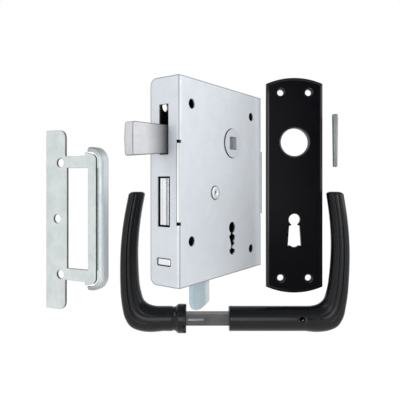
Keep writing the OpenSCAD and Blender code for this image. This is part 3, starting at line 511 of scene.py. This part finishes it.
# Painted shade inside the case, laid on the case and on the pieces that stay inside it
painted_inside_shade = ((inside_shade, INSIDE_SHADE),)
case_zinc = plated(
    "case_zinc", (0.66, 0.69, 0.73), (0.60, 0.635, 0.68), 0.4, (0.42, 0.52), (1.0, 1.0, 10.0),
    layers=((case_outline_shade, PAINTED_DARK_LINE), (bend_reflection, PAINTED_DARK_LINE), *painted_inside_shade, (tab_edge_highlight, CUT_EDGE_HIGHLIGHT)))
inner_zinc = plated("inner_zinc", (0.70, 0.735, 0.785), (0.62, 0.66, 0.72), layers=painted_inside_shade)
inner_steel = plated("inner_steel", (0.82, 0.83, 0.84), (0.70, 0.71, 0.73), 0.85, layers=painted_inside_shade)
stud_steel = plated(
    "stud_steel", (0.74, 0.76, 0.78), (0.66, 0.68, 0.70), 0.6, (0.25, 0.35),
    layers=(*painted_inside_shade, (stud_ring_shade, (0.14, 0.15, 0.16))))
spring_steel = plated("spring_steel", (0.38, 0.39, 0.41), (0.28, 0.29, 0.31), 0.9, layers=painted_inside_shade)
plain_brass = plated("plain_brass", (0.76, 0.62, 0.34), (0.62, 0.48, 0.24), 0.95, layers=painted_inside_shade)
keeper_zinc = plated(
    "keeper_zinc", (0.64, 0.69, 0.70), (0.57, 0.62, 0.64), 0.3, (0.36, 0.5), (12.0, 12.0, 1.0),
    layers=((staple_wall_light, (0.89, 0.95, 0.98)), (staple_painted_shade, (0.24, 0.27, 0.28))), edge_shading=0.8)
keeper_plate_zinc = plated(
    "keeper_plate_zinc", (0.70, 0.735, 0.73), (0.54, 0.60, 0.60), 0.4, (0.4, 0.55), (12.0, 12.0, 1.0),
    layers=((keeper_edge_shade, (0.06, 0.07, 0.07)),), edge_shading=0.7)
latch_steel = plated(
    "latch_steel", (0.60, 0.61, 0.63), (0.53, 0.54, 0.56), 0.35, (0.4, 0.5), (1.0, 0.3, 16.0),
    layers=((latch_slot_shade, (0.03, 0.032, 0.035)), (latch_outline_shade, (0.09, 0.095, 0.1))), edge_shading=0.95)
milled = ((0.86, 0.88, 0.90), (0.76, 0.78, 0.80), 0.8, (0.22, 0.34), (1.0, 1.0, 20.0))
bolt_steel = plated("bolt_steel", *milled, edge_shading=0.8)
head_steel = plated("head_steel", *milled, layers=((head_groove_shade_and_line, (0.26, 0.28, 0.30)),), edge_shading=0.25)
blue_zinc = plated(
    "blue_zinc", (0.50, 0.60, 0.66), (0.43, 0.53, 0.59), 0.5, (0.32, 0.45),
    layers=((tab_pale_strip, (0.80, 0.84, 0.87)),), edge_shading=0.5)
follower_steel = plated(
    "follower_steel", (0.62, 0.65, 0.69), (0.54, 0.57, 0.62), 0.5, (0.35, 0.5),
    layers=((follower_rim_shade, (0.07, 0.075, 0.08)), (follower_socket, (0.60, 0.61, 0.63))))
drawn_steel = plated(
    "drawn_steel", (0.105, 0.107, 0.112), (0.065, 0.066, 0.07), 0.7, (0.3, 0.42), (1.0, 1.0, 16.0),
    layers=((spindle_groove, (0.22, 0.22, 0.22)),), edge_shading=0.5)
pin_steel = plated(
    "pin_steel", (0.24, 0.265, 0.27), (0.17, 0.19, 0.195), 0.8, (0.3, 0.42), (16.0, 16.0, 1.0), edge_shading=0.6)
lever_black = moulded("lever_black", (0.0032, 0.0036, 0.0048), (0.2, 0.28), 0.03, 0.28)
plate_black = moulded("plate_black", (0.0026, 0.0024, 0.0036), (0.16, 0.22), 0.01, 0.03)
ring_black = moulded("ring_black", (0.006, 0.006, 0.007), (0.16, 0.22), 0.01, 0.5)
rim_black = moulded("rim_black", (0.0035, 0.0034, 0.0045), (0.16, 0.22), 0.01, 0.4)
FINISH = {"zinc_steel": inner_zinc, "bright_steel": inner_steel, "blue_zinc": blue_zinc,
          "spring_steel": spring_steel, "plain_steel": drawn_steel, "brass": plain_brass,
          "black_plastic": lever_black, "black_gloss": plate_black}
for node, obj in frame["nodes"].items():
    for slot in obj.material_slots:
        slot.material = FINISH[SLOT_OF[node]]

# Levers

# Edges of a lever seen square to its plane, 11 stations from the neck to the top as (X, Z) in millimetres,
# and its half depth there
OUTER = np.array([[0, -8.4], [-7.9, -9.1], [-15.8, -8.2], [-22.3, -5.1], [-26.1, 1], [-27.8, 7.9],
                  [-29, 17.8], [-29.4, 34.2], [-28.8, 50.8], [-26.8, 67.4], [-23.6, 84]])
INNER = np.array([[0, 8.4], [-4.4, 8.5], [-8.4, 9.2], [-11.3, 10.5], [-13.6, 12.8], [-15, 16.8],
                  [-16.4, 23.7], [-17.2, 36.2], [-17.2, 50.8], [-15.6, 67.4], [-12.7, 84]])
DEPTH = np.array([8.4, 8.2, 8, 7.9, 7.8, 7.7, 7.7, 7.6, 7.4, 7.1, 6.8])
# Half of the grip's section from its outer edge to its inner edge, as shares of its half width and half
# depth: a broad outer face, a groove, a bead, a second groove and a slanting inner face
GRIP_HALF = np.array([[1.0, 0.0], [0.99, 0.22], [0.95, 0.45], [0.88, 0.64], [0.78, 0.77], [0.64, 0.87],
                      [0.45, 0.945], [0.28, 0.98], [0.20, 0.96], [0.14, 0.895], [0.07, 0.95],
                      [-0.02, 0.985], [-0.12, 0.975], [-0.22, 0.94], [-0.31, 0.88], [-0.38, 0.81],
                      [-0.44, 0.855], [-0.55, 0.81], [-0.70, 0.70], [-0.87, 0.54], [-0.98, 0.36],
                      [-1.035, 0.18], [-1.05, 0.0]])
# Above GRIP_FOOT the drawn edges stretch from DRAWN_RISE to GRIP_RISE; the lean is reached LEAN_RISE higher
GRIP_FOOT = 10.0
DRAWN_RISE = 85.9
GRIP_RISE = 87.8
LEAN_RISE = 74.0
# The domed top: shares of its reach, how far the section shrinks there and how high it rises
CAP = np.array([0.25, 0.5, 0.72, 0.88, 0.97, 1.0])
CAP_SHRINK = 0.80
CAP_RISE = 1.9
# Stations between which the neck's ellipse becomes the grip's section
TURNS_FROM, TURNS_TO = 0.6, 4.4
# Where each lever's bend begins along the spindle, and its neck or sleeve towards the other lever
FIXED_X = -25.6
LOOSE_X = 72.1
FIXED_NECK = 9.3
LOOSE_NECK = 52.2
NECK_R = 8.4
NECK_RINGS = 24
LOOSE_LEAN = 3.0
BORE_HALF = 4.0
BORE_DEPTH = 60.2


def gripped(edge, lean):
    """Edge points above the grip's foot stretched to its height and leaned outwards by lean at the top."""
    rise = np.maximum(edge[:, 1] - GRIP_FOOT, 0)
    z = np.minimum(edge[:, 1], GRIP_FOOT) + rise * GRIP_RISE / DRAWN_RISE
    return np.stack([edge[:, 0] - lean * rise / LEAN_RISE, z], 1)


def lever_rings(neck, lean, sides=248, steps=14):
    """Rings of a lever from its neck to its domed top, in its own plane, and the ellipse of its neck. The
    section turns from that ellipse into the grip's own section along the bend."""
    half_sides = sides // 2
    place = np.linspace(0, len(GRIP_HALF) - 1, half_sides, endpoint=False)
    half = through(GRIP_HALF, place)
    grip = np.vstack([half, half[::-1] * [1, -1]])
    grip[half_sides] = GRIP_HALF[-1]
    angle = np.arctan2(grip[:, 1], grip[:, 0])
    ellipse = np.stack([np.cos(angle), np.sin(angle)], 1)
    spans = len(OUTER) - 1
    t = np.linspace(0, spans, spans * steps + 1)
    outer = gripped(through(OUTER, t), lean)
    inner = gripped(through(INNER, t), lean)
    depth = through(DEPTH, t)
    shrink = np.sqrt(1 - (CAP * CAP_SHRINK) ** 2)
    rise = CAP * CAP_RISE
    middle, half = (outer[-1] + inner[-1]) / 2, (outer[-1] - inner[-1]) / 2
    lift = np.stack([0.25 * rise, rise], 1)
    outer = np.vstack([outer, middle + half * shrink[:, None] + lift])
    inner = np.vstack([inner, middle - half * shrink[:, None] + lift])
    depth = np.concatenate([depth, depth[-1] * shrink])
    t = np.concatenate([t, np.full(len(CAP), float(spans))])
    neck_x = np.linspace(neck, 0, NECK_RINGS, endpoint=False)
    outer = np.vstack([np.stack([neck_x, np.full(NECK_RINGS, -NECK_R)], 1), outer])
    inner = np.vstack([np.stack([neck_x, np.full(NECK_RINGS, NECK_R)], 1), inner])
    depth = np.concatenate([np.full(NECK_RINGS, NECK_R), depth])
    t = np.concatenate([np.zeros(NECK_RINGS), t])
    middle, half = (outer + inner) / 2, (outer - inner) / 2
    share = smooth_step(t, TURNS_FROM, TURNS_TO)[:, None]
    across = ellipse[None, :, 0] * (1 - share) + grip[None, :, 0] * share
    out = ellipse[None, :, 1] * (1 - share) + grip[None, :, 1] * share
    x = middle[:, 0, None] + half[:, 0, None] * across
    z = middle[:, 1, None] + half[:, 1, None] * across
    return np.stack([x, depth[:, None] * out, z], -1), ellipse


def lever_fixed():
    """The grip, with its neck drawn in a little just beside the collar: a bell curve over the distance."""
    rings = lever_rings(FIXED_NECK, 0.0)[0]
    pinch, pinch_at, pinch_reach = 0.06, 7.6, 0.9
    x = rings[:NECK_RINGS, :, 0]
    rings[:NECK_RINGS, :, 1:] *= (1 - pinch * np.exp(-((x - pinch_at) / pinch_reach) ** 2))[..., None]
    rings[..., 0] += FIXED_X
    obj = skin("lever_fixed_grip", laid_out(rings * MM, LEVERS_AT))
    return show(obj, "lever_fixed", lever_black, ["lever_fixed"])


def lever_loose():
    """The other grip with its long sleeve. The sleeve's square bore is rings of the same angles, at half the
    square's width over the larger of cosine and sine, and a hole for the taper pin crosses it."""
    rings, ellipse = lever_rings(LOOSE_NECK, LOOSE_LEAN)
    unit = np.column_stack([np.zeros(len(ellipse)), ellipse[:, 1], -ellipse[:, 0]])
    square = unit * (BORE_HALF / np.abs(ellipse).max(1))[:, None]
    along = np.array([1.0, 0.0, 0.0])
    mouth = LOOSE_NECK * along
    deep = (LOOSE_NECK - BORE_DEPTH) * along
    rounding = 0.35
    inside = [square * 0.02 + deep, square + deep, square + mouth, unit * (NECK_R - rounding) + mouth,
              unit * NECK_R + mouth - rounding * along]
    rings = np.concatenate([np.array(inside), rings[1:]])
    rings[..., 0] = LOOSE_X - rings[..., 0]
    obj = skin("lever_loose_grip", laid_out(rings * MM, LEVERS_AT))
    hole_r, hole_reach = 1.85, 20
    hole_at = laid_out(np.array([LOOSE_X - 3.2, 0, 1.4]) * MM, LEVERS_AT)
    cutter = turned("cutter", [(-hole_reach, hole_r), (hole_reach, hole_r)], hole_at,
                    spun([0.0, 1.0, 0.0], SET_TURN))
    cut = obj.modifiers.new("cross_hole", "BOOLEAN")
    cut.object = cutter
    cut.solver = "EXACT"
    baked = bpy.data.meshes.new_from_object(obj.evaluated_get(bpy.context.evaluated_depsgraph_get()))
    obj.modifiers.clear()
    obj.data = baked
    bpy.data.objects.remove(cutter)
    return show(obj, "lever_loose", lever_black, ["lever_loose"])


lever_fixed()
lever_loose()

# Escutcheon

ESC_HALF_W = 20.1
ESC_HALF_H = 76.5
ESC_ARC = 49.5
ESC_T = 3.0
HANDLE_Z = 30.6
HANDLE_R = 9.85
KEY_Z = HANDLE_Z - 55.0
RIM = 2.0
EDGE_ROUND = 0.22
FACE_SHARP = 9.0
SCREW_X = 9.9
SCREW_Z = 65.9
SCREW_R = 3.3
KEYHOLE_R = 4.1
SHOULDER_Z = -3.39
# The keyhole's foot, about the middle of its head
KEYHOLE_FOOT = np.array([[-2.2, -3.9], [-3.85, -4.6], [-4.8, -18.7], [-3, -18.5], [-1.6, -19.4], [0, -19.8],
                         [1.6, -19.4], [3, -18.5], [4.8, -18.7], [3.85, -4.6], [2.2, -3.9]])
# Sections in millimetres: the rim as (inset, depth), the hole's lip and a countersink as (height, radius)
RIM_SECTION = [(RIM, ESC_T), (0.0, ESC_T), (0.0, 1.0), (0.12, 0.72), (0.4, 0.5), (1.0, 0.26),
               (RIM - 0.1, 0.06), (RIM, 0.12)]
LIP_SECTION = [(-0.2, 11.05), (0.25, 10.95), (0.45, 10.7), (0.5, 10.4), (0.5, 10.15), (0.4, 9.92),
               (0.2, 9.85), (-0.2, 9.85)]
SINK_SECTION = [(0.0, 3.32), (-0.02, 3.2), (-1.1, 2.2), (-2.95, 2.2), (-2.95, 3.32)]
FRONT = spun([0.0, -1.0, 0.0], SET_TURN)


def escutcheon_outline(inset, arc_points=48, side_points=24):
    """Outline inset from the edge: two straight sides and two arcs, both offset by the inset."""
    w = ESC_HALF_W - inset
    r = ESC_ARC - inset
    middle = ESC_HALF_H - ESC_ARC
    sweep = math.asin(w / r)
    angle = np.linspace(-sweep, sweep, arc_points)
    top = np.stack([r * np.sin(angle), middle + r * np.cos(angle)], 1)
    z = np.linspace(top[-1, 1], -top[-1, 1], side_points + 2)[1:-1]
    right = np.stack([np.full(side_points, w), z], 1)
    half = np.vstack([top, right])
    return np.vstack([half, -half])


def circle_points(x, z, r, count=64):
    """Points round a circle in the plate's own plane."""
    angle = np.linspace(0, 2 * math.pi, count, endpoint=False)
    return np.stack([x + r * np.cos(angle), z + r * np.sin(angle)], 1)


def keyhole_points():
    """Round head of the keyhole down to its shoulders, then the flared foot with its wavy end."""
    start = math.asin(SHOULDER_Z / KEYHOLE_R)
    angle = np.linspace(start, math.pi - start, 40)
    head = KEYHOLE_R * np.stack([np.cos(angle), np.sin(angle)], 1)
    return np.vstack([head, KEYHOLE_FOOT]) + [0, KEY_Z]


def flat_plate(name, outlines, thickness, edge):
    """Mesh of a plate filled between its outline and its holes, with rounded edges, and its points in its
    own plane."""
    curve = bpy.data.curves.new(name, "CURVE")
    curve.dimensions = "2D"
    curve.fill_mode = "BOTH"
    for points in outlines:
        spline = curve.splines.new("POLY")
        spline.points.add(len(points) - 1)
        flat = np.column_stack([points * MM, np.zeros(len(points)), np.ones(len(points))])
        spline.points.foreach_set("co", flat.ravel())
        spline.use_cyclic_u = True
    curve.extrude = (thickness / 2 - edge) * MM
    curve.bevel_depth = edge * MM
    curve.bevel_resolution = 2
    curve.offset = -edge * MM
    holder = new_object(name + "_curve", curve)
    graph = bpy.context.evaluated_depsgraph_get()
    mesh = bpy.data.meshes.new_from_object(holder.evaluated_get(graph))
    bpy.data.objects.remove(holder)
    flat = np.zeros(len(mesh.vertices) * 3)
    mesh.vertices.foreach_get("co", flat)
    return mesh, flat.reshape(-1, 3)


def escutcheon():
    """The plate's face, its rolled rim, the raised lip round the handle's hole and four countersinks."""
    holes = [circle_points(0, HANDLE_Z, HANDLE_R), keyhole_points()]
    screws = [(x, z) for x in (-SCREW_X, SCREW_X) for z in (-SCREW_Z, SCREW_Z)]
    holes += [circle_points(x, z, SCREW_R, 48) for x, z in screws]
    mesh, flat = flat_plate("escutcheon_face", [escutcheon_outline(RIM)] + holes, ESC_T, EDGE_ROUND)
    local = np.stack([flat[:, 0], ESC_T * MM / 2 - flat[:, 2], flat[:, 1]], 1)
    mesh.vertices.foreach_set("co", laid_out(local, ESCUTCHEON_AT).ravel())
    face = outward(new_object("escutcheon_face", mesh))
    mesh.shade_smooth()
    mesh.set_sharp_from_angle(angle=math.radians(FACE_SHARP))
    show(face, "escutcheon", plate_black, ["escutcheon"])
    rings = []
    for inset, y in RIM_SECTION:
        outline = escutcheon_outline(inset)
        rings.append(np.stack([outline[:, 0], np.full(len(outline), y), outline[:, 1]], 1))
    rim = skin("escutcheon_rim", laid_out(np.array(rings) * MM, ESCUTCHEON_AT), loop=True)
    show(rim, "escutcheon", rim_black)
    lip_at = laid_out(np.array([0, 0, HANDLE_Z]) * MM, ESCUTCHEON_AT)
    lip = turned("escutcheon_lip", LIP_SECTION, lip_at, FRONT, 96, loop=True)
    show(lip, "escutcheon", ring_black)
    for n, (x, z) in enumerate(screws):
        at = laid_out(np.array([x, 0, z]) * MM, ESCUTCHEON_AT)
        sink = turned(f"escutcheon_countersink_{n + 1}", SINK_SECTION, at, FRONT, 48, loop=True)
        show(sink, "escutcheon", ring_black)


escutcheon()

# Keeper

STAPLE_X1 = 47.4
STAPLE_HALF = 49.35
STAPLE_ROLL = 10.0
STAPLE_TAB = 12.0
STAPLE_BACK = 8.8
STAPLE_BEND_R = 3.0
STAPLE_FRONT = 0.9
SHEET = 1.8
BACK_ROUND = 0.3
# Corners of the bridge between the staple and the plate, as (X, depth), and its reach from the middle
BRIDGE = np.array([[41.1, 1.8], [45.8, 1.8], [45.8, 3.6], [41.1, 3.6]])
BRIDGE_HALF = 34.9


def staple_section(steps=10):
    """Section of the staple's sheet: flat wall, then its front edge turned inwards round a 3 mm bend. Each
    point is its distance outwards from the wall's outer face and its depth behind the keeper's front."""
    r, inner_r = STAPLE_BEND_R, STAPLE_BEND_R - SHEET
    angle = np.linspace(0, math.pi / 2, steps)
    outer = np.stack([r * (np.cos(angle) - 1), STAPLE_FRONT + r * (1 - np.sin(angle))], 1)
    inner = np.stack([inner_r * np.cos(angle) - r, STAPLE_FRONT + r - inner_r * np.sin(angle)], 1)[::-1]
    back = [[-SHEET, STAPLE_BACK - BACK_ROUND], [BACK_ROUND - SHEET, STAPLE_BACK],
            [-BACK_ROUND, STAPLE_BACK], [0.0, STAPLE_BACK - BACK_ROUND]]
    lip = [[-r - 0.25, STAPLE_FRONT + BACK_ROUND], [-r - 0.25, STAPLE_FRONT + SHEET - BACK_ROUND]]
    return np.vstack([outer, lip, inner, back])


def keeper_staple(tab_steps=3, turn_steps=20, wall_steps=20):
    """The section carried round the staple's outline: straight tab, quarter turn, straight wall, quarter
    turn and tab. A point of the section keeps its distance from the outline's outer line."""
    tab_x = STAPLE_X1 - STAPLE_TAB
    turn_x = STAPLE_X1 - STAPLE_ROLL
    turn_z = STAPLE_HALF - STAPLE_ROLL
    tab = np.stack([np.linspace(tab_x, turn_x, tab_steps + 1)[:-1], np.full(tab_steps, turn_z)], 1)
    upper = np.vstack([tab, np.tile([turn_x, turn_z], (turn_steps, 1))])
    wall_z = np.linspace(turn_z, -turn_z, wall_steps + 2)[1:-1]
    wall = np.stack([np.full(wall_steps, turn_x), wall_z], 1)
    middle = np.vstack([upper, wall, upper[::-1] * [1, -1]])
    angle = np.linspace(math.pi / 2, 0, turn_steps)
    turn_out = np.stack([np.cos(angle), np.sin(angle)], 1)
    upper_out = np.vstack([np.tile([0.0, 1.0], (tab_steps, 1)), turn_out])
    out = np.vstack([upper_out, np.tile([1.0, 0.0], (wall_steps, 1)), upper_out[::-1] * [1, -1]])
    section = staple_section()
    reach = STAPLE_ROLL + section[None, :, 0, None]
    flat = middle[:, None, :] + out[:, None, :] * reach
    y = np.broadcast_to(section[None, :, 1], flat.shape[:2])
    rings = np.stack([flat[..., 0], y, flat[..., 1] + KEEPER_MID], -1) * MM
    obj = skin("keeper_staple_wall", spun(rings, KEEPER_TURN) + KEEPER_AT)
    ends = [np.column_stack([BRIDGE, np.full(4, KEEPER_MID + z)]) for z in (-BRIDGE_HALF, BRIDGE_HALF)]
    bridge = skin("keeper_staple_bridge", spun(np.array(ends) * MM, KEEPER_TURN) + KEEPER_AT)
    show(bridge, "keeper_staple", keeper_zinc)
    return show(obj, "keeper_staple", keeper_zinc, ["keeper_staple"])


keeper_staple()
softened("keeper_plate", keeper_plate_zinc, 0.3)

# Lock

# The guide stud's section as (distance from the door's face, radius)
STUD_PROFILE = [(10.8, 0.05), (10.8, 1.7), (1.8, 1.7), (1.8, 4.5), (8.4, 4.5), (8.4, 3.0), (12.0, 3.0),
                (12.0, 4.5), (19.8, 4.5), (19.8, 2.5), (21.55, 2.5), (21.6, 4.3), (21.75, 4.44), (22.0, 4.4),
                (22.3, 4.1), (22.5, 3.6), (22.58, 3.0), (22.56, 2.4), (22.5, 1.6), (22.42, 1.15),
                (22.1, 0.85), (21.9, 0.4), (21.85, 0.05)]
PIN_LENGTH = 37.0
PIN_TIP_R = 1.6
PIN_TAPER = 0.45


def guide_stud():
    """Turned stud with its two shoulders, and a riveted head with a ring round a small dimple."""
    at = np.array([0.0, *STUD_AXIS]) * MM
    obj = turned("guide_stud_turned", STUD_PROFILE, at, [1.0, 0.0, 0.0], 72, sharp=50.0)
    return show(obj, "guide_stud", stud_steel, ["guide_stud"])


def taper_pin():
    """Tapered pin with rounded ends, where the radius loses a little, and a shallow seam down its front."""
    z = np.array([0.0, 0.12, 0.4, 0.9, 10, 20, 30, 36.1, 36.6, 36.88, PIN_LENGTH])
    rounding = np.array([0.9, 0.45, 0.15, 0, 0, 0, 0, 0, 0.12, 0.4, 0.85])
    radius = PIN_TIP_R + PIN_TAPER * z / PIN_LENGTH - rounding
    angle = np.linspace(0, 2 * math.pi, 60, endpoint=False)
    seam = 1 - 0.14 * np.exp(-((angle - math.pi * 1.5) / 0.13) ** 2)
    circle = radius[:, None] * seam
    height = np.broadcast_to(z[:, None], circle.shape)
    rings = np.stack([circle * np.cos(angle), circle * np.sin(angle), height], -1)
    obj = skin("taper_pin_seamed", laid_out(rings * MM, PIN_AT))
    return show(obj, "taper_pin", pin_steel, ["taper_pin"])


guide_stud()
taper_pin()
softened("case_body", case_zinc, 0.2)
softened("back_plate", case_zinc, 0.2)
softened("latch", latch_steel, 0.3)
softened("deadbolt_head", head_steel, 0.2)
softened("night_bolt", bolt_steel, 0.9, 4)
softened("thumb_tab", blue_zinc, 0.4)
softened("follower", follower_steel, 0.2)
softened("spindle", drawn_steel, 0.25)
softened("lever_collar", lever_black, 0.25)

# Stage and camera

# The floor looks white to the camera and in mirrors and glass, but lights the object as a pale floor does
STAGE_GLOW = 1.06
STAGE_SHARE = 0.88
stage = Finish(None, "stage_white")
stage.set(base_color=(0.9, 0.9, 0.9), roughness=0.9)
glow = stage.nodes.new("ShaderNodeEmission")
glow.inputs["Strength"].default_value = STAGE_GLOW
path = stage.nodes.new("ShaderNodeLightPath")
seen = stage.math("MAXIMUM", path.outputs["Is Camera Ray"], path.outputs["Is Glossy Ray"])
seen = stage.math("MAXIMUM", seen, path.outputs["Is Transmission Ray"])
mix = stage.nodes.new("ShaderNodeMixShader")
stage.fill(mix.inputs[0], stage.math("MULTIPLY", seen, STAGE_SHARE))
stage.links.new(stage.shader.outputs[0], mix.inputs[1])
stage.links.new(glow.outputs[0], mix.inputs[2])
stage.links.new(mix.outputs[0], stage.nodes["Material Output"].inputs["Surface"])

FLOOR_Z = -0.125
FLOOR_HALF = 6.0
CORNERS = ((-1, -1), (1, -1), (1, 1), (-1, 1))
floor = mesh_object("floor", [[x * FLOOR_HALF, y * FLOOR_HALF, FLOOR_Z] for x, y in CORNERS], [(0, 1, 2, 3)])
floor.data.materials.append(stage.material)

world = bpy.data.worlds.new("studio")
bpy.context.scene.world = world
world.use_nodes = True
sky = Finish(world.node_tree)
background = sky.nodes["Background"]
background.inputs["Color"].default_value = (1.0, 1.0, 1.0, 1.0)
path = sky.nodes.new("ShaderNodeLightPath")
# Reflections show a white room with a dark end, this way along, and a dim ceiling
DARK_END = (0.593, -0.805, 0.0)
toward = sky.nodes.new("ShaderNodeVectorMath")
toward.operation = "DOT_PRODUCT"
sky.links.new(sky.place, toward.inputs[0])
toward.inputs[1].default_value = DARK_END
dark_end = sky.ranged(toward.outputs["Value"], 0.80, 0.93, 1.0, 0.06, smooth=True)
height = sky.nodes.new("ShaderNodeSeparateXYZ")
sky.links.new(sky.place, height.inputs[0])
ceiling = sky.ranged(height.outputs["Z"], 0.35, 0.8, 1.0, 0.35, smooth=True)
mirrored = sky.math("MULTIPLY", dark_end, ceiling)
glossy = path.outputs["Is Glossy Ray"]
seen = sky.math("MAXIMUM", path.outputs["Is Camera Ray"], path.outputs["Is Transmission Ray"])
plain = sky.ranged(seen, 0.0, 1.0, 0.6, 1.0)
strength = sky.math("ADD", sky.math("MULTIPLY", glossy, mirrored),
                    sky.math("MULTIPLY", sky.math("SUBTRACT", 1.0, glossy), plain))
sky.links.new(strength, background.inputs["Strength"])


def softbox(name, at, target, size, power):
    """Rectangular lamp that faces its target."""
    lamp = bpy.data.lights.new(name, "AREA")
    lamp.shape = "RECTANGLE"
    lamp.size, lamp.size_y = size
    lamp.energy = power
    obj = new_object(name, lamp)
    obj.location = at
    obj.rotation_mode = "QUATERNION"
    obj.rotation_quaternion = (Vector(at) - Vector(target)).to_track_quat("Z", "Y")


softbox("key_lamp", (-0.35, -0.75, 0.75), (0.0, 0.0, -0.02), (0.5, 0.5), 2.2)
softbox("side_lamp", (0.9, 0.3, 0.3), (0.0, 0.0, -0.02), (0.5, 0.6), 2.8)
softbox("fill_lamp", (0.44, -0.68, -0.05), (-0.02, -0.02, 0.0), (0.6, 0.6), 3.8)

camera = new_object("camera", bpy.data.cameras.new("camera"))
camera.data.sensor_width = 36.0
camera.data.lens = 41.0
camera.data.shift_y = -0.046
camera.data.clip_start, camera.data.clip_end = 0.01, 50.0
camera.location = (0.18139, -0.24498, 0.0)
camera.rotation_euler = (math.radians(90), 0.0, math.radians(36.37))
bpy.context.scene.camera = camera
bpy.context.scene.view_settings.view_transform = "Standard"
